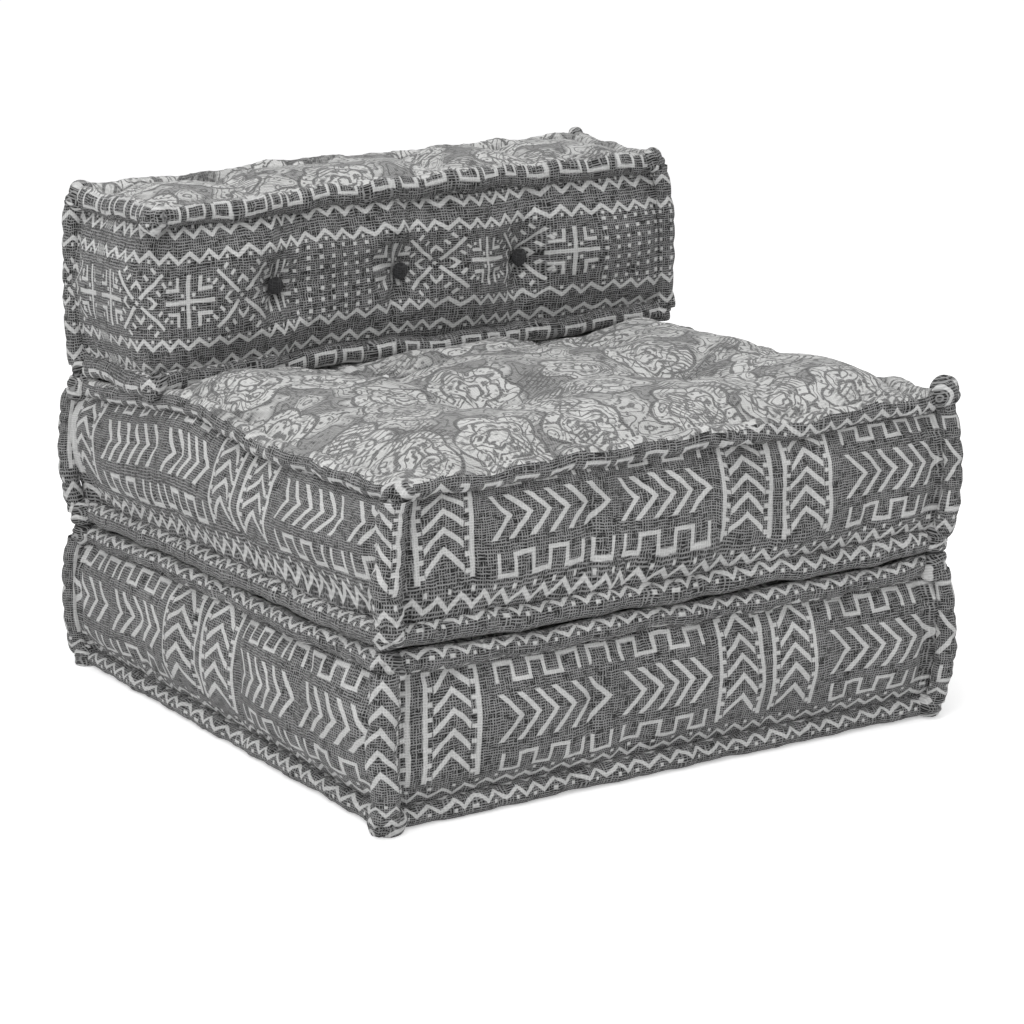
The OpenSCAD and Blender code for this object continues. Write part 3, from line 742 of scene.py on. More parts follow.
def seat_flow(u, left):
    """The printed strip's place round the seat: a little stretched in front, cut anew at the left."""
    places = (-45.1, -34.8, -32.8, -26.4, -22.2, -13.8, -11.6, -9.5, -6.3, 0.9, 5.2, 11.5, 13.4, 19.6,
              24.4, 30.5, 33.8, 300.0)
    prints = (-42.3, -31.85, -30.15, -24.65, -19.8, -12.1, -10.4, -8.55, -4.3, 1.94, 5.65, 11.15, 12.85,
              18.35, 23.2, 29.65, 34.05, 300.0)
    turned = np.interp(u, (-105.0, -93.0, -80.0, -66.0), (-2.2, -2.0, -1.0, 0.0))
    return np.where(left, u - 9.7 + turned, np.interp(u, places, prints))


def seat_drift(u, left):
    return seat_flow(u, left), np.interp(u, (-20.0, 4.0, 14.0, 60.0, 60.1), (0.0, 0.3, 0.6, 0.6, 0.0))


def seat_strip(t, u, left):
    heights = (1.6, 3.1, 4.6, 6.75, 9.15, 10.2, 14.8, 15.6, 16.5)
    levels = (1.5, 2.45, 3.3, 4.5, 6.7, 7.65, 12.8, 14.4, 15.2)
    drift = np.interp(u, (-20.0, -8.0, 4.0, 14.0, 60.0, 60.1), (0.0, 0.4, 0.5, 0.6, 0.6, 0.0))
    upper = np.interp(u, (4.0, 7.0, 16.0, 24.0, 60.0, 60.1), (0.0, 0.9, 1.4, 1.25, 1.25, 0.0))
    drift = drift + upper * np.interp(t, (0.12, 0.3, 0.48), (0.0, 0.45, 1.0))
    droop = np.interp(u, (-105.0, -36.0), (0.6, -1.1)) * np.clip((t - 0.1) / 0.35, 0, 1) * left
    return seat_flow(u, left), np.interp(1.5 + 15.0 * t, heights, levels) + drift + droop


seat_cover, grid = box_cover(
    "seat_cushion", pouf_half, pouf_cells,
    lambda g: pouf_form(g, crown=0.015, tuft_depth=0.029, flat_depth=0.010, lean=0.55), seat_strip, covers)
points = np.array([v.co for v in seat_cover.data.vertices])
on_top = grid[:, 2] >= 1
cap = np.where(on_top & (points[:, 1] > 0.15), 0.003, np.where(on_top, 0.018, 0.012))
points = plump(seat_cover, pouf_held(grid, points), cap, pressure=6.0, slack=0.03)
smooth_cover(seat_cover, seat_settle(points))
crumpled(seat_cover, (seat_low_z + 0.025, seat_low_z + 0.155), seed=15, pucker=0.0011, lump=0.0019)

crease_count = 9


def creased(cover, centres, across, up, normal, seed, depth, reach):
    """Creases that run out from the ties, where the cloth is drawn together into sharp folds.

    across and up are the axes that centres are given in, and normal the axis and sign of the face.
    """
    place, way = surface(cover.data)
    facing = np.clip(way[:, normal[0]] * normal[1] * 2 - 0.6, 0, 1)
    rng = np.random.default_rng(seed)
    shift = np.zeros(len(place))
    for centre in centres:
        x = place[:, across] - centre[0]
        y = place[:, up] - centre[1]
        for k in range(crease_count):
            turn = 2 * np.pi * (k + rng.uniform(-0.3, 0.3)) / crease_count
            out = x * math.cos(turn) + y * math.sin(turn)
            aside = y * math.cos(turn) - x * math.sin(turn) + 0.1 * out * rng.uniform(-1, 1)
            long = reach * rng.uniform(0.6, 1.5)
            width = 0.0035 + 0.05 * np.clip(out, 0, 1)
            fade = np.clip(out / 0.012, 0, 1) * np.exp(-(out / long) ** 2)
            shift = shift - depth * rng.uniform(0.5, 1.2) * fade * np.exp(-(aside / width) ** 2)
            shift = shift + depth * 0.5 * fade * np.exp(-((aside - 2.2 * width) / width) ** 2)
    place[:, normal[0]] += normal[1] * shift * facing
    put_points(cover.data, place)


tuft_spots = [(a, b) for a in tuft_x for b in tuft_y]
creased(seat_cover, tuft_spots, 0, 1, (2, 1), seed=19, depth=0.0060, reach=0.085)
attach(seat_cover, "seat_cushion")
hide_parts("seat_filling", "seat_top_panel", "seat_bottom_panel", "seat_front_border",
            "seat_right_border", "seat_rear_border", "seat_left_border")

# The rolled edges: where a panel meets the borders, their cloth is stitched round a rope of the
# stuffing by hand, so each seam stands up as a lumpy roll that ends in a knob at every corner.
roll_step = 0.004
roll_sides = 28
roll_in = 0.0115
groove_angle = math.radians(70)
scallop_pitch = 0.034


def edge_path(half, inset, draw):
    """Places round a cushion at that inset, the outward way at each, and the distance round."""
    w, d = half
    places = []
    around = []
    starts = (0.0, w + d, 2 * w + 2 * d, -w - d)
    for side, (along, across) in enumerate(((w, d), (d, w), (w, d), (d, w))):
        reach = along - inset
        t = np.linspace(-reach, reach, int(2 * reach / roll_step), endpoint=False)
        out = across - inset - side_pull(t, reach) * draw
        places.append(np.stack([(t, -out), (out, t), (-t, out), (-out, -t)][side], axis=1))
        around.append(starts[side] + t)
    places = np.concatenate(places)
    for _ in range(3):
        places = (np.roll(places, 1, axis=0) + 2 * places + np.roll(places, -1, axis=0)) / 4
    tangent = unit(np.roll(places, -1, axis=0) - np.roll(places, 1, axis=0))
    return places, np.stack([tangent[:, 1], -tangent[:, 0]], axis=1), np.concatenate(around)


def tube_faces(rings, sides, closed):
    """Squares between the rings of a tube, wound so that they face outwards."""
    i, j = np.meshgrid(np.arange(rings if closed else rings - 1), np.arange(sides), indexing="ij")
    following = (i + 1) % rings
    turned = (j + 1) % sides
    corners = [i * sides + j, following * sides + j, following * sides + turned, i * sides + turned]
    return np.stack(corners, axis=-1).reshape(-1, 4)


stitch_pitch = 0.022


def stitch_turn(s):
    """Which stitch a place along the roll belongs to: hand sewing is not quite even."""
    return s / stitch_pitch + wander(s, 8, (0.17, 0.09), 0.5)


def lumps(s, phi, seed):
    """How thick a hand-packed roll is, as a share: uneven lengthwise, and rippled by its cloth."""
    swelling = 1 + wander(s, seed, (0.21, 0.09, 0.047), 0.15)[:, None] * (0.7 + 0.3 * np.cos(phi))
    ripple = wander(s, seed + 1, (0.021, 0.014), 0.05)[:, None] * np.cos(2 * phi + 1)
    return swelling + ripple


def roll_rings(half, z, thick, way, v_groove, seed, drift, draw, ridge, wave):
    """One rolled edge's points, faces, cloth places and panel flags, without its knobs."""
    places, outward, s = edge_path(half, roll_in, draw)
    phi = np.linspace(-np.pi, np.pi, roll_sides, endpoint=False)[None, :]
    r = thick * lumps(s, phi, seed)
    pinch = np.exp(-((stitch_turn(s) % 1 - 0.5) / 0.17) ** 2)[:, None]
    lean = np.exp(-((phi * way + groove_angle) / 0.6) ** 2) + np.exp(-((phi * way - 2.6) / 0.55) ** 2)
    r = r * (1 - 0.13 * pinch * lean)
    sway = wander(s, seed + 2, (0.35, 0.16, 0.08), 0.0036 * wave)
    lift = wander(s, seed + 3, (0.42, 0.2, 0.09), 0.0034 * wave)
    middle = places + outward * sway[:, None]
    out = middle[:, None, :] + outward[:, None, :] * (r * np.cos(phi))[:, :, None]
    up = z + lift[:, None] + r * np.sin(phi)
    points = np.concatenate([out, up[:, :, None]], axis=2).reshape(-1, 3)
    faces = tube_faces(len(s), roll_sides, True)
    ring = np.arange(len(s)).repeat(roll_sides)
    side = np.tile(np.arange(roll_sides), len(s))
    phi_mid = (phi[0][side] + np.pi / roll_sides) * way
    scallop = 0.16 * np.abs(np.sin(s * np.pi / scallop_pitch)) + wander(s, seed + 4, (0.13, 0.05), 0.2)
    scallop = scallop.repeat(roll_sides)
    panel = (phi_mid > math.radians(ridge) + scallop - 0.15) | (phi_mid < -groove_angle - 0.9)
    corner_ring = np.stack([ring, ring + 1, ring + 1, ring], axis=1)
    corner_side = np.stack([side, side, side + 1, side + 1], axis=1)
    around = np.append(s, 2 * s[-1] - s[-2])[corner_ring] * 100
    angle = (-np.pi + corner_side * 2 * np.pi / roll_sides) * way
    flowed, dv = drift(around, (around < -100 * half[0] - 0.3) & (around > -100 * (half[0] + 2 * half[1])))
    flowed = flowed + wander(around / 100, seed + 6, (0.028, 0.041), 0.3)
    v = v_groove + (angle + groove_angle) * roll_radius * 100 * way + dv
    flat = 100 * points[faces][:, :, :2]
    uv = np.where(panel[:, None, None], flat, np.stack([flowed, v], axis=2))
    return points, faces, uv, panel


def knob(middle, axis, radius, u, v, seed):
    """The gathered knob at a corner: cloth folded round a hard lump of stuffing, drawn to a point."""
    rows, cols = 20, 36
    polar = np.linspace(0.02, np.pi - 0.02, rows)[:, None]
    turn = np.linspace(0, 2 * np.pi, cols, endpoint=False)[None, :]
    rng = np.random.default_rng(seed)
    fold = 0.0
    for waves, size in ((2, 0.09), (3, 0.06), (5, 0.05), (7, 0.03)):
        fold = fold + size * np.cos(waves * turn + rng.uniform(-1.6, 1.6) * polar + rng.uniform(0, 6))
    sharp = 0.09 * (np.abs(np.sin(2.5 * turn + 1.3 * polar + rng.uniform(0, 3))) ** 0.6 - 0.7)
    r = radius * (1 + (fold + sharp) * np.sin(polar) ** 0.6 - 0.22 * np.exp(-(polar / 0.3) ** 2))
    axis = unit(np.array(axis, float))
    across = unit(np.cross(axis, (0, 0, 1)))
    upright = np.cross(across, axis)
    wide = r * np.sin(polar)
    local = [wide * np.cos(turn), wide * np.sin(turn), 0.95 * r * np.cos(polar) + 0 * turn]
    points = sum(part[..., None] * way for part, way in zip(local, (across, upright, axis)))
    points = points + np.array(middle)
    faces = tube_faces(rows, cols, False)[:, ::-1]
    points = np.concatenate([points.reshape(-1, 3), [points[0].mean(axis=0)], [points[-1].mean(axis=0)]])
    ends = []
    for pole, base in ((len(points) - 2, 0), (len(points) - 1, (rows - 1) * cols)):
        for k in range(cols):
            edge = [base + k, base + (k + 1) % cols]
            edge = edge if base == 0 else edge[::-1]
            ends.append([edge[0], edge[1], pole, pole])
    faces = np.concatenate([faces, ends])
    offset = 100 * (points - np.array(middle))
    cloth = np.stack([u + offset @ across - 0.5 * offset @ axis, v + offset @ upright], axis=1)
    return points, faces, cloth[faces], np.zeros(len(faces), bool)


def joined(parts):
    """Several sets of points, faces, cloth places and panel flags as one."""
    points, faces, places, panel = zip(*parts)
    starts = np.cumsum([0] + [len(part) for part in points[:-1]])
    faces = [part + start for part, start in zip(faces, starts)]
    return [np.concatenate(kind) for kind in (points, faces, places, panel)]


def corner_place(spot, half):
    """How far round the cushion a corner is, in centimetres."""
    side = np.array("front" if spot[1] < 0 else "rear")
    return float(perimeter(np.array(spot[0]), np.array(spot[1]), side, half))


def sewn_on(piece, body, node):
    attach(piece, body)
    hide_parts(node)


def rolled_edge(name, body, node, half, z, way, v_groove, seed, knobs, drift, press, settle, materials,
                thick=roll_radius, draw=1.0, ridge=78, wave=1.0):
    """A rolled edge with a knob at each corner. Returns its rings, for the stitches beside them.

    way is 1 for a top roll and -1 for a bottom one, v_groove is the print's height in its groove,
    draw is how far its sides are drawn in, as a share, ridge is the angle where the panel's cloth
    begins, and wave is how uneven its line is.
    """
    parts = [roll_rings(half, z, thick, way, v_groove, seed, drift, draw, ridge, wave)]
    for (a, b), (size, inset, rise) in knobs.items():
        spot = (a * (half[0] - inset), b * (half[1] - inset), z + rise)
        knob_seed = seed + 7 * int(a + 2 * b + 3)
        parts.append(knob(spot, (a, b, 0.25 * way), size, corner_place(spot, half), v_groove, knob_seed))
    points, faces, uv, panel = joined(parts)
    points[:, 2] = press(points)
    points = settle(points)
    sewn_on(mesh_piece(name, points, faces, uv, panel, materials), body, node)
    return points[:len(parts[0][0])].reshape(-1, roll_sides, 3)


# Each corner's knob: its radius, how far in from the corner it stands, and how far above the roll.
pouf_knobs = {(a, b): (0.0165, 0.005, 0.0) for a, b in ((-1, -1), (1, -1), (1, 1), (-1, 1))}
base_knobs = {**pouf_knobs, (-1, -1): (0.0190, 0.006, 0.0)}
seat_knobs = {**pouf_knobs, (-1, -1): (0.0155, 0.006, 0.0), (1, -1): (0.0175, 0.001, 0.008)}


def base_drift(u, left):
    return base_flow(u, left), 0 * u


def seat_top_drift(u, left):
    return seat_flow(u, left), 2.3 * np.clip((u - 4.0) / 14.0, 0, 1) * (u < 60) + 2.3 * (u >= 60)


def lying(points):
    """The lowest edge is pressed flat on what the cushion lies on."""
    return np.maximum(points[:, 2], 0.0002)


def under_load(points):
    return np.minimum(points[:, 2], pouf_height - 0.0001)


def under_back_cushion(points):
    return np.where(points[:, 1] > 0.12, under_load(points), points[:, 2])


pouf_top_z = pouf_height - roll_radius - 0.001
base_bottom_z = roll_radius - 0.0005
seat_bottom_z = roll_radius + 0.0035
base_foot_draw = 0.1
base_lower = rolled_edge(
    "base_lower_roll", "base_cushion", "base_bottom_rolled_edge", pouf_half, z=base_bottom_z, way=-1,
    v_groove=2.5, seed=11, knobs=base_knobs, drift=base_drift, press=lying, settle=base_settle,
    materials=covers, draw=base_foot_draw, wave=0.15)
base_upper = rolled_edge(
    "base_upper_roll", "base_cushion", "base_top_rolled_edge", pouf_half, z=pouf_top_z, way=1,
    v_groove=15.5, seed=21, knobs=pouf_knobs, drift=base_drift, press=under_load, settle=base_settle,
    materials=covers, ridge=75, wave=0.8)
seat_lower = rolled_edge(
    "seat_lower_roll", "seat_cushion", "seat_bottom_rolled_edge", pouf_half, z=seat_bottom_z, way=-1,
    v_groove=1.9, seed=31, knobs=pouf_knobs, drift=seat_drift, press=lying, settle=seat_settle,
    materials=covers, thick=0.0138, wave=0.6)
seat_upper = rolled_edge(
    "seat_upper_roll", "seat_cushion", "seat_top_rolled_edge", pouf_half, z=pouf_top_z, way=1,
    v_groove=14.7, seed=41, knobs=seat_knobs, drift=seat_top_drift, press=under_back_cushion,
    settle=seat_settle, materials=covers, ridge=40)

# The corner rolls: the borders meet at each corner in an upright roll of the same kind, drawn in
# by its stitches into a row of puffs, and bowed out by the stuffing behind it.
roll_end = 0.016
puff_pitch = 0.028


def corner_roll(spot, way, radius, most, turned, z0, z1, half, strip, seed):
    """One corner's roll, bowed out by most, with its print turned round it by so many centimetres."""
    rings, sides = 50, 22
    t = np.linspace(0, 1, rings)
    z = z0 + (z1 - z0) * t
    phi = np.linspace(0, 2 * np.pi, sides, endpoint=False)[None, :]
    puff = np.abs(np.sin(np.pi * (z / puff_pitch + seed * 0.37)))[:, None] ** 0.5
    lean = 0.5 + 0.5 * np.cos(phi - math.atan2(way[1], way[0]))
    r = radius * (0.80 + 0.24 * puff * (0.6 + 0.4 * lean))
    r = r * (1 + wander(z, seed, (0.06, 0.11), 0.08)[:, None])
    r = r * (1 + wander(z, seed + 2, (0.018, 0.012), 0.05)[:, None] * np.cos(3 * phi + seed))
    bow = most * np.sin(np.pi * t) ** 0.8
    sway = wander(z, seed + 1, (0.07, 0.13), 0.0026)
    middle = np.array(spot)[None, :] + np.array(way)[None, :] * bow[:, None]
    middle = middle + np.array([-way[1], way[0]])[None, :] * sway[:, None]
    x = middle[:, 0][:, None] + r * np.cos(phi)
    y = middle[:, 1][:, None] + r * np.sin(phi)
    points = np.stack([x, y, z[:, None] + 0 * phi], axis=2).reshape(-1, 3)
    faces = tube_faces(rings, sides, False)[:, ::-1]
    i, j = faces // sides, faces % sides
    j = np.where((j == 0) & (j.max(axis=1, keepdims=True) == sides - 1), sides, j)
    angle = j * 2 * np.pi / sides - math.atan2(way[1], way[0])
    angle = (angle + np.pi) % (2 * np.pi) - np.pi
    jump = angle - angle[:, :1]
    angle = np.where(np.abs(jump) > 3, angle - np.sign(jump) * 2 * np.pi, angle)
    u = corner_place(spot, half) + angle * radius * 100 - turned
    uv = np.stack(strip((z[i] - seam_in) / (z1 + z0 - 2 * seam_in), u, np.zeros(u.shape, bool)), axis=2)
    return points, faces, uv, np.zeros(len(faces), bool)


def corner_rolls(name, body, node, half, height, spots, strip, seed, settle, materials):
    parts = []
    for k, ((a, b), (radius, inset, most, turned)) in enumerate(spots.items()):
        spot = (a * (half[0] - inset), b * (half[1] - inset))
        way = (a * math.sqrt(0.5), b * math.sqrt(0.5))
        parts.append(corner_roll(spot, way, radius, most, turned, roll_end, height - roll_end, half, strip,
                                 seed + 5 * k))
    points, faces, uv, panel = joined(parts)
    sewn_on(mesh_piece(name, settle(points), faces, uv, panel, materials), body, node)


# Each corner roll: its radius, inset and bow, and how far its print is turned, in centimetres.
plain_corner = (0.012, -0.0005, 0.009, 0.0)
pouf_corners = {
    (-1, -1): (0.0160, -0.0005, 0.008, 1.0), (1, -1): (0.012, 0.0015, 0.011, 0.0),
    (1, 1): plain_corner, (-1, 1): plain_corner,
}
corner_rolls("base_corner_puffs", "base_cushion", "base_corner_rolls", pouf_half, pouf_height,
             pouf_corners, base_strip, seed=51, settle=base_settle, materials=covers)
corner_rolls("seat_corner_puffs", "seat_cushion", "seat_corner_rolls", pouf_half, pouf_height,
             pouf_corners, seat_strip, seed=61, settle=seat_settle, materials=covers)

# The back cushion: narrower, with one border strip of another print run round two smooth corners,
# and three buttons a side whose twine pulls its front and rear faces together.
back_low, back_high = (np.array(v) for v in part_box("back_bottom_rolled_edge"))
back_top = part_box("back_top_rolled_edge")[1].z
back_half = (back_high - back_low)[:2] / 2
back_height = back_top - back_low[2]
back_up = np.array([0.0, (back_low[1] + back_high[1]) / 2, back_low[2]])
button_box = [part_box(node) for node in ("back_front_buttons", "back_rear_buttons")]
button_radius = (button_box[0][1].z - button_box[0][0].z) / 2
button_ends = (button_box[0][0].x + button_radius, button_box[0][1].x - button_radius)
button_x = np.linspace(*button_ends, 3)
button_z = back_height / 2
button_depth = 0.022
back_corners = {
    (-1, -1, -1): (0.000, 0.000, -0.013), (-1, -1, 1): (0.008, 0.002, -0.002),
    (-1, 1, -1): (0.000, 0.000, -0.024), (-1, 1, 1): (0.003, 0.000, 0.004),
    (1, -1, 1): (-0.018, 0.000, 0.008), (1, -1, -1): (-0.002, 0.000, 0.009),
    (1, 1, 1): (0.000, 0.000, 0.011), (1, 1, -1): (0.000, 0.000, 0.008),
}
back_band = 9.6
back_period = 40.5
back_dots_middle = -10.3


def back_print(tree, place):
    """The back's printed strip: squares, zigzag rows, and a band of crosses, saltires and dots."""
    u, v = hand_drawn(tree, place, 0.24, 0.1)
    n = abs(v - back_band)
    h = (u - back_dots_middle).fold(back_period / 2)
    plus = abs(h - 8.1) & (h * -1.0 + back_period / 2)
    least = plus & n
    most = plus | n
    ink = least.near(0.24) & most.near(2.9)
    ink = ink | (abs(least - 1.3).near(0.2) & most.near(2.7))
    ink = ink | (abs(plus - 0.7) | abs(n - 0.75)).near(0.2) | (abs(plus - 2.2) | abs(n - 2.1)).near(0.2)
    p = abs(h - 13.9)
    diagonal = abs(p - n) * 0.7071
    radial = (p + n) * 0.7071
    ink = ink | (diagonal.near(0.2) & radial.between(0.6, 4.3)) | radial.near(0.2)
    ink = ink | (abs(radial - 1.5).near(0.17) & (p & n).near(0.65))
    bars = abs(radial - 2.6) & abs(radial - 3.7)
    ink = ink | (bars.near(0.17) & diagonal.between(0.7, 1.4))
    field = (h.off_marks(1.5) | n.off_marks(1.17)).near(0.21)
    ink = ink | (field & h.near(4.8) & n.near(3.85))
    ink = ink | zigzag(u, n, 4.6, zigzag_period, 0.9, 0.2)
    ink = ink | dots(u, n, 4.25, zigzag_period, 1.22, 0.17)
    ink = ink | zigzag(u + 0.5, n, 7.0, zigzag_period, 0.9, 0.2)
    ink = ink | dots(u + 0.5, n, 7.5, zigzag_period, 0.0, 0.17)
    rim = abs((u.off_marks(3.6) - 1.1) | (abs(n - 10.0) - 0.8))
    return ink | rim.near(0.19)


back_cloth, tree, shader, place = cloth_material("printed_back_cloth", 0.92)
finish_cloth(tree, shader, place, back_print(tree, place), ground_thread, ground_gap_shade, print_pale)
back_covers = [back_cloth, damask_cloth]
corner_round = 0.016
corner_round_reach = 0.045


def button_distance(x, z):
    return np.min([np.hypot(x - a, z - button_z) for a in button_x], axis=0)


def back_form(grid):
    """Rest shape of the back cushion's cover."""
    a, b, c = grid.T
    w, d = back_half - seam_in
    x = a * w
    y = b * d
    z = back_height / 2 + c * (back_height / 2 - seam_in)
    seamed = a * b < 0
    side = np.maximum(np.abs(a), np.abs(b))
    full = belly * bulge(c)
    x_out = np.where(seamed, swell(c, y, d, belly), full)
    y_out = np.where(seamed, swell(c, x, w, belly), full)
    corner = corner_reach(a, b, c, 0.001) * seamed
    x = x - np.sign(a) * np.abs(a) ** 6 * (side_pull(y, d) * 0.3 - x_out - corner)
    dent = button_depth * dimple(button_distance(x, z), 0.056)
    gathers = [np.exp(-((x - k - 0.012 * c) / 0.010) ** 2) for k in button_x]
    dent = dent + 0.006 * (1 - c ** 2) * np.sum(gathers, axis=0)
    face = (np.abs(b) >= 1) & (np.abs(c) < 1)
    y = y - np.sign(b) * np.abs(b) ** 6 * (side_pull(a * w, w) - y_out - corner) - np.sign(b) * dent * face
    from_corner = w - np.abs(a) * w + d - np.abs(b) * d
    smooth = (a * b > 0) * (side >= 1) * np.clip(1 - from_corner / corner_round_reach, 0, 1) ** 2
    x = x - np.sign(a) * corner_round * smooth
    y = y - np.sign(b) * corner_round * smooth
    inner = inward(a, b, w, d)
    notch = 0.012 * np.sum([np.exp(-((x - k) / 0.02) ** 2) for k in (-0.19, 0.055, 0.185)], axis=0)
    rise = (seam_in - 0.001 - notch) * inner
    sink = (seam_in - 0.0005) * inner
    z = np.where(c >= 1, z + rise, np.where(c <= -1, z - sink, z))
    return np.stack([x, y, z], axis=1)


def back_flow(u, left):
    """The printed strip's place along the back, where the buttons gather the cloth."""
    places = (-36.0, -30.8, -24.8, -21.0, -18.7, -17.4, -17.0, -7.6, -6.6, -3.2, 1.85, 7.0, 9.25, 11.5,
              12.0, 13.6, 17.2, 18.6, 21.9, 25.0, 26.4, 30.9, 34.9, 300.0)
    prints = (-35.7, -30.55, -24.2, -21.3, -18.4, -15.5, -14.8, -5.8, -5.1, -2.2, 3.6, 7.05, 9.95, 12.85,
              13.3, 16.0, 18.9, 19.5, 22.1, 25.0, 25.7, 30.2, 34.2, 299.3)
    return np.where(left & (u < -47.0), u - 10.7, np.interp(u, places, prints) + np.minimum(u + 36.0, 0.0))


def back_lift(u):
    """How much higher the strip was sewn on than it should be, in centimetres along the front."""
    return np.interp(u, (-36.0, -20.5, -16.0, -2.0, 12.0, 35.0, 60.0), (-0.1, -0.2, 0.5, 0.8, 0.5, 0.1, 0.0))


def back_strip(t, u, left):
    lowered = np.interp(u, (-20.5, -12.0, -2.0, 10.0, 20.0, 60.0, 60.1),
                        (0.0, 0.4, 0.9, 0.9, 0.35, 0.35, 0.0))
    upper = np.interp(t, (0.55, 0.75, 1.0), (0.0, 0.6, 1.0))
    return back_flow(u, left), 1.2 + 16.8 * t - back_lift(u) + lowered * upper


def back_drift(u, left):
    return back_flow(u, left), -back_lift(u)


back_stretch = 0.008


def back_settle(points):
    """The back cushion sits askew: its top is stretched up from the left button to the right end."""
    raised = points + back_up
    share = np.clip((points[:, 2] / back_height - 0.7) / 0.3, 0, 1.1)
    raised[:, 2] += back_stretch * share * np.clip((points[:, 0] + 0.20) / 0.16, 0, 1)
    return settled(raised, back_low, np.array([back_high[0], back_high[1], back_top]), back_corners)


back_cells = [pouf_cells[0], int(round(2 * back_half[1] / cell)), int(round(0.185 / cell))]
back_cover, grid = box_cover("back_cushion", back_half, back_cells, back_form, back_strip, back_covers)
points = np.array([v.co for v in back_cover.data.vertices])
a, b, c = grid.T
side = np.maximum(np.abs(a), np.abs(b))
held = np.where((c <= -1) | ((c >= 1) & (side >= 1)), 1.0, 0.0)
held = np.where((np.abs(c) >= 0.87) & (side >= 1), 1.0, held)
held = np.where((side >= 1) & (np.abs(a) > 0.965) & (a * b < 0) & (np.abs(b) > 0.88), 1.0, held)
held = np.where((np.abs(b) >= 1) & (button_distance(points[:, 0], points[:, 2]) < 0.012), 1.0, held)
cap = np.where(c >= 1, 0.006, 0.012)
points = plump(back_cover, held, cap, pressure=6.0, slack=0.03)
smooth_cover(back_cover, back_settle(points))
crumpled(back_cover, (back_low[2] + 0.025, back_low[2] + 0.175), seed=25, pucker=0.0012, lump=0.0018)
button_spots = back_settle(np.array([[x, 0.0, button_z] for x in button_x]))
for way in (-1, 1):
    centres = [(spot[0], spot[2]) for spot in button_spots]
    creased(back_cover, centres, 0, 2, (1, way), seed=27 + way, depth=0.0045, reach=0.05)
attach(back_cover, "back_cushion")
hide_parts("back_filling", "back_top_panel", "back_bottom_panel", "back_front_left_border",
            "back_rear_right_border")

back_knobs = {
    (-1, -1): (0.0155, 0.006, 0.0), (1, -1): (0.0155, 0.009, 0.0),
    (1, 1): (0.016, 0.005, 0.0), (-1, 1): (0.016, 0.009, 0.0),
}


def free_top(points):
    return points[:, 2]


back_lower = rolled_edge(
    "back_lower_roll", "back_cushion", "back_bottom_rolled_edge", back_half, z=roll_radius + 0.001, way=-1,
    v_groove=2.0, seed=71, knobs=back_knobs, drift=back_drift, press=lying, settle=back_settle,
    materials=back_covers)
back_upper = rolled_edge(
    "back_upper_roll", "back_cushion", "back_top_rolled_edge", back_half,
    z=back_height - roll_radius - 0.001, way=1, v_groove=17.6, seed=81, knobs=back_knobs, drift=back_drift,
    press=free_top, settle=back_settle, materials=back_covers, ridge=65)
back_corner = (0.012, 0.004, 0.004, 0.0)
corner_rolls("back_corner_puffs", "back_cushion", "back_corner_rolls", back_half, back_height,
             {(1, -1): back_corner, (-1, 1): back_corner}, back_strip, seed=91, settle=back_settle,
             materials=back_covers)

# The stitches: waxed thread, sewn by hand through each cushion just beside its rolls, shows as a
# row of short slanting stitches in the groove between roll and border.


def setting_nodes():
    """A tree that sets a copy of one small piece on every point, turned as the point's "turn" says."""
    tree = bpy.data.node_groups.new("set_on_points", "GeometryNodeTree")
    for name, kind in (("Points", "Geometry"), ("Piece", "Object"), ("Size", "Float"),
                       ("Unevenness", "Float"), ("Seed", "Int"), ("Material", "Material")):
        tree.interface.new_socket(name=name, in_out="INPUT", socket_type="NodeSocket" + kind)
    tree.interface.new_socket(name="Geometry", in_out="OUTPUT", socket_type="NodeSocketGeometry")
    given = tree.nodes.new("NodeGroupInput").outputs
    piece = new_node(tree, "GeometryNodeObjectInfo", {"Object": given["Piece"]})
    turn = new_node(tree, "GeometryNodeInputNamedAttribute", {"Name": "turn"}, data_type="FLOAT_VECTOR")
    rotation = new_node(tree, "FunctionNodeEulerToRotation", {0: turn.outputs["Attribute"]})
    least = new_node(tree, "ShaderNodeMath", {
        0: given["Size"], 1: given["Unevenness"]}, operation="SUBTRACT")
    chance = new_node(tree, "FunctionNodeRandomValue", {
        2: least.outputs[0], 3: given["Size"], "Seed": given["Seed"]})
    copies = new_node(tree, "GeometryNodeInstanceOnPoints", {
        "Points": given["Points"], "Instance": piece.outputs["Geometry"], "Rotation": rotation.outputs[0],
        "Scale": chance.outputs[1]})
    whole = new_node(tree, "GeometryNodeRealizeInstances", {0: copies.outputs[0]})
    finish = new_node(tree, "GeometryNodeSetMaterial", {
        "Geometry": whole.outputs[0], "Material": given["Material"]})
    new_node(tree, "NodeGroupOutput", {0: finish.outputs[0]})
    return tree


set_on_points = setting_nodes()


def set_out(name, points, frames, small, material, seed, unevenness):
    """One mesh of copies of a small piece: frames hold each copy's own x, y and z ways as columns."""
    mesh = bpy.data.meshes.new(name)
    mesh.from_pydata(np.asarray(points).tolist(), [], [])
    turns = mesh.attributes.new("turn", "FLOAT_VECTOR", "POINT")
    angles = [Matrix(frame.tolist()).to_euler()[:] for frame in frames]
    turns.data.foreach_set("vector", np.array(angles).ravel())
    piece = bpy.data.objects.new(name, mesh)
    scene.collection.objects.link(piece)
    setting = piece.modifiers.new("setting", "NODES")
    setting.node_group = set_on_points
    values = {"Piece": small, "Size": 1.0, "Unevenness": unevenness, "Seed": seed, "Material": material}
    for socket in set_on_points.interface.items_tree:
        if socket.in_out == "INPUT" and socket.name in values:
            setting[socket.identifier] = values[socket.name]
    keep_modified(piece)
    piece.data.polygons.foreach_set("use_smooth", [True] * len(piece.data.polygons))
    return piece


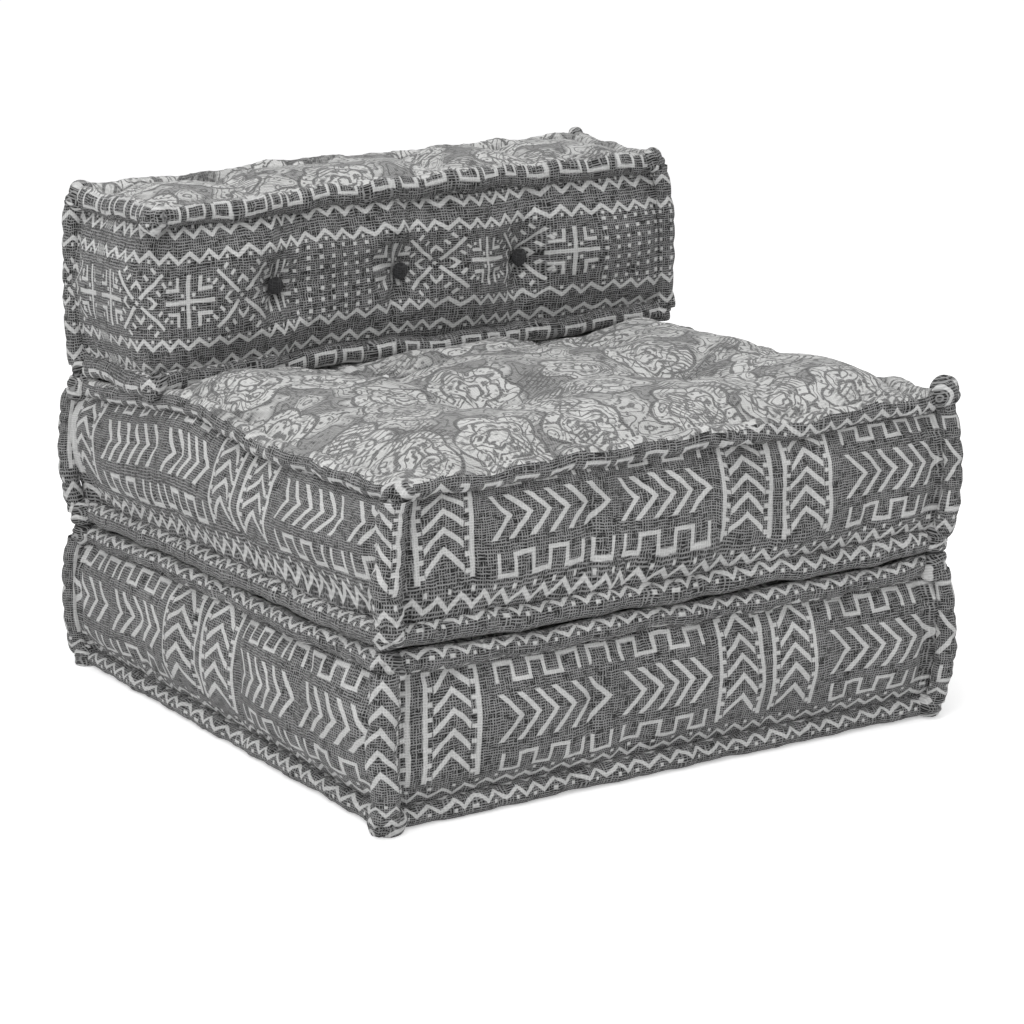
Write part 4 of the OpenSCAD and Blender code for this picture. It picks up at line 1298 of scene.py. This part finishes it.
def small_tube(name, path, radius, sides):
    """A short closed tube along a path, as the pattern for the copies of a thread or twine."""
    path = np.asarray(path, float)
    ahead = unit(np.gradient(path, axis=0))
    first = unit(np.cross(ahead, (0.31, 0.22, 0.93)))
    second = np.cross(ahead, first)
    phi = np.linspace(0, 2 * np.pi, sides, endpoint=False)
    r = np.reshape(radius, (-1, 1, 1)) if np.ndim(radius) else radius
    rings = path[:, None, :] + r * (np.cos(phi)[None, :, None] * first[:, None, :]
                                    + np.sin(phi)[None, :, None] * second[:, None, :])
    faces = tube_faces(len(path), sides, False).tolist()
    last = (len(path) - 1) * sides
    faces += [list(range(sides))[::-1], [last + k for k in range(sides)]]
    mesh = bpy.data.meshes.new(name)
    mesh.from_pydata(rings.reshape(-1, 3).tolist(), [], faces)
    return bpy.data.objects.new(name, mesh)


def thread_material(name, colour, dark, pitch):
    """Twisted thread: fine slanting strands, in Object coordinates, with painted shade in the hollows
    between.
    """
    material = bpy.data.materials.new(name)
    material.use_nodes = True
    tree = material.node_tree
    where = tree.nodes.new("ShaderNodeTexCoord").outputs["Object"]
    strands = new_node(tree, "ShaderNodeTexWave", {
        "Vector": where, "Scale": 1 / pitch, "Distortion": 1.5}, bands_direction="DIAGONAL").outputs["Fac"]
    bump = new_node(tree, "ShaderNodeBump", {"Strength": 0.4, "Distance": 0.0004, "Height": strands})
    # The dark colour is painted shade in the hollows between the strands, mixed in by the same bands as the
    # bump.
    fill_inputs(tree, tree.nodes["Principled BSDF"], {
        "Roughness": 0.8, "Specular IOR Level": 0.25, "Normal": bump.outputs["Normal"],
        "Base Color": mixed(tree, strands, (*dark, 1.0), (*colour, 1.0))})
    return material


# The second colour is painted shade in the hollows between the thread's strands.
thread = thread_material("waxed_thread", (0.30, 0.30, 0.295), (0.10, 0.10, 0.10), 0.004)
stitch_length = 0.009
stitch_rise = 0.0011
stitch_radius = 0.0006
stitch_slant = 0.5
t = np.linspace(-1, 1, 7)
stitch_path = np.stack([t * stitch_length / 2, 0 * t, stitch_rise * (1 - t ** 2) - stitch_radius], axis=1)
stitch = small_tube("stitch", stitch_path, stitch_radius * (1 - 0.5 * t ** 4), 6)


def stitches(name, body, rolls, seed):
    """A row of stitches along each roll's groove: rings of the roll, and which way its border lies."""
    spots = []
    frames = []
    for rings, half, draw, way in rolls:
        s = edge_path(half, roll_in, draw)[2]
        turn = np.floor(stitch_turn(s) - 0.5)
        chosen = np.nonzero(turn != np.roll(turn, 1))[0]
        groove = int(round((math.pi - way * groove_angle) / (2 * math.pi) * roll_sides)) % roll_sides
        along = np.roll(rings[:, groove], -1, axis=0) - np.roll(rings[:, groove], 1, axis=0)
        outward = rings[:, groove] - rings.mean(axis=1)
        for k in chosen:
            out = unit(outward[k])
            ahead = unit(along[k] - out * (along[k] @ out))
            side = np.cross(out, ahead)
            slant = ahead * math.cos(stitch_slant) + side * math.sin(stitch_slant)
            frames.append(np.stack([slant, np.cross(out, slant), out], axis=1))
            spots.append(rings[k, groove] + out * stitch_radius)
    piece = set_out(name, spots, frames, stitch, thread, seed, unevenness=0.3)
    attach(piece, body)


stitches("base_stitches", "base_cushion",
         [(base_lower, pouf_half, base_foot_draw, -1), (base_upper, pouf_half, 1.0, 1)], seed=3)
stitches("seat_stitches", "seat_cushion",
         [(seat_lower, pouf_half, 1.0, -1), (seat_upper, pouf_half, 1.0, 1)], seed=4)
stitches("back_stitches", "back_cushion",
         [(back_lower, back_half, 1.0, -1), (back_upper, back_half, 1.0, 1)], seed=5)

# The buttons: domed shells covered in plain charcoal cloth, gathered under the rim, three on the
# front of the back cushion and three on its rear, each pulled in by the twine on its shank.
button_thread = (0.050, 0.050, 0.052)
# The gap colour is painted shade in the hollows between the button cloth's threads.
button_gap_shade = (0.017, 0.017, 0.018)
button_pale = (0.12, 0.12, 0.12)
dome_height = 0.445
button_cloth, tree, shader, place = cloth_material("button_cloth", 0.9)
specks = noise(tree, place, 3.0) * 0.12
finish_cloth(tree, shader, place, specks, button_thread, button_gap_shade, button_pale, 0.5)


def button_shell():
    """A covered button with its dome along +Z: rim, soft pleats at the edge, and a shank below."""
    r = button_radius
    profile = [(0.12, 0.44), (0.3, 0.42), (0.52, 0.36), (0.72, 0.27), (0.88, 0.15), (0.97, 0.03),
               (1.0, -0.08), (0.97, -0.18), (0.86, -0.25), (0.6, -0.28), (0.3, -0.3), (0.26, -0.42)]
    sides = 40
    phi = np.linspace(0, 2 * np.pi, sides, endpoint=False)
    rings = []
    for share, z in profile:
        pleat = 1 + 0.03 * np.cos(20 * phi) * np.clip((share - 0.7) / 0.3, 0, 1) * (z < 0.1)
        wide = r * share * pleat
        rings.append(np.stack([wide * np.cos(phi), wide * np.sin(phi), 0 * phi + r * z], axis=1))
    points = np.concatenate(rings + [[[0, 0, dome_height * r]], [[0, 0, -0.42 * r]]])
    faces = tube_faces(len(profile), sides, False)[:, ::-1].tolist()
    top, bottom = len(points) - 2, len(points) - 1
    last = (len(profile) - 1) * sides
    faces += [[k, (k + 1) % sides, top] for k in range(sides)]
    faces += [[last + (k + 1) % sides, last + k, bottom] for k in range(sides)]
    mesh = bpy.data.meshes.new("button")
    mesh.from_pydata(points.tolist(), [], faces)
    uv = mesh.uv_layers.new(name="cloth")
    loop = np.empty(len(mesh.loops), int)
    mesh.loops.foreach_get("vertex_index", loop)
    uv.data.foreach_set("uv", (100 * points[loop][:, :2] + 100 * points[loop][:, 2:]).ravel())
    return bpy.data.objects.new("button", mesh)


button = button_shell()
for way, name, node in ((-1, "front_covered_buttons", "back_front_buttons"),
                        (1, "rear_covered_buttons", "back_rear_buttons")):
    low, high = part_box(node)
    dome = low.y if way < 0 else high.y
    rim_y = dome - way * dome_height * button_radius
    spots = np.array([[spot[0], rim_y, spot[2]] for spot in button_spots])
    frame = np.array([[1.0, 0.0, 0.0], [0.0, 0.0, float(way)], [0.0, -float(way), 0.0]])
    buttons = set_out(name, spots, [frame] * 3, button, button_cloth, seed=6, unevenness=0.0)
    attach(buttons, "back_cushion")
    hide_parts(node)

# The ties: doubled cotton twine, run straight through a cushion and drawn tight, ends in a knot
# above and below on the square cushions, and in the shanks of the buttons on the back cushion.
# The second colour is painted shade in the hollows between the twine's strands.
twine = thread_material("cotton_twine", (0.36, 0.36, 0.35), (0.14, 0.14, 0.135), 0.005)
twine_radius = 0.0015
knot_size = 0.00125
t = np.linspace(0, 2 * np.pi, 56)
trefoil = np.stack([np.sin(t) + 2 * np.sin(2 * t), np.cos(t) - 2 * np.cos(2 * t), -np.sin(3 * t)], axis=1)
knot = small_tube("knot", trefoil * knot_size, 0.0011, 8)


def twine_line(start, end):
    """A straight length of twine from one place to another."""
    share = np.linspace(0, 1, 24)[:, None]
    line = small_tube("line", start * (1 - share) + end * share, twine_radius, 8)
    line.data.materials.append(twine)
    scene.collection.objects.link(line)
    return line


def merged(name, parts):
    """Several objects' meshes as one object, with the first one's first material."""
    material = parts[0].data.materials[0]
    points, faces = [], []
    for part in parts:
        start = len(points)
        points += [list(v.co) for v in part.data.vertices]
        faces += [[start + v for v in polygon.vertices] for polygon in part.data.polygons]
        bpy.data.objects.remove(part)
    mesh = bpy.data.meshes.new(name)
    mesh.from_pydata(points, [], faces)
    mesh.materials.append(material)
    mesh.polygons.foreach_set("use_smooth", [True] * len(faces))
    piece = bpy.data.objects.new(name, mesh)
    scene.collection.objects.link(piece)
    return piece


def ties(name, body, node, settle, lift):
    """Four lengths of twine, each with a knot at its lowest and its highest point."""
    low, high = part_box(node)
    ends = [[a, b, z - lift] for a, b in tuft_spots for z in (low.z + 0.004, high.z - 0.004)]
    ends = settle(np.array(ends))
    knots = set_out(name + "_knots", ends, [np.eye(3)] * len(ends), knot, twine, seed=8, unevenness=0.1)
    whole = merged(name, [knots] + [twine_line(ends[k], ends[k + 1]) for k in range(0, len(ends), 2)])
    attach(whole, body)
    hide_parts(node)


ties("base_ties", "base_cushion", "base_tufting_twine", base_settle, 0.0)
ties("seat_ties", "seat_cushion", "seat_tufting_twine", seat_settle, seat_low_z)
low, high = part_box("back_button_twine")
button_ties = merged("back_ties", [
    twine_line(np.array([x, low.y, z]), np.array([x, high.y, z])) for x, y, z in button_spots])
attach(button_ties, "back_cushion")
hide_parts("back_button_twine")
for pattern in (stitch, button, knot):
    bpy.data.objects.remove(pattern)
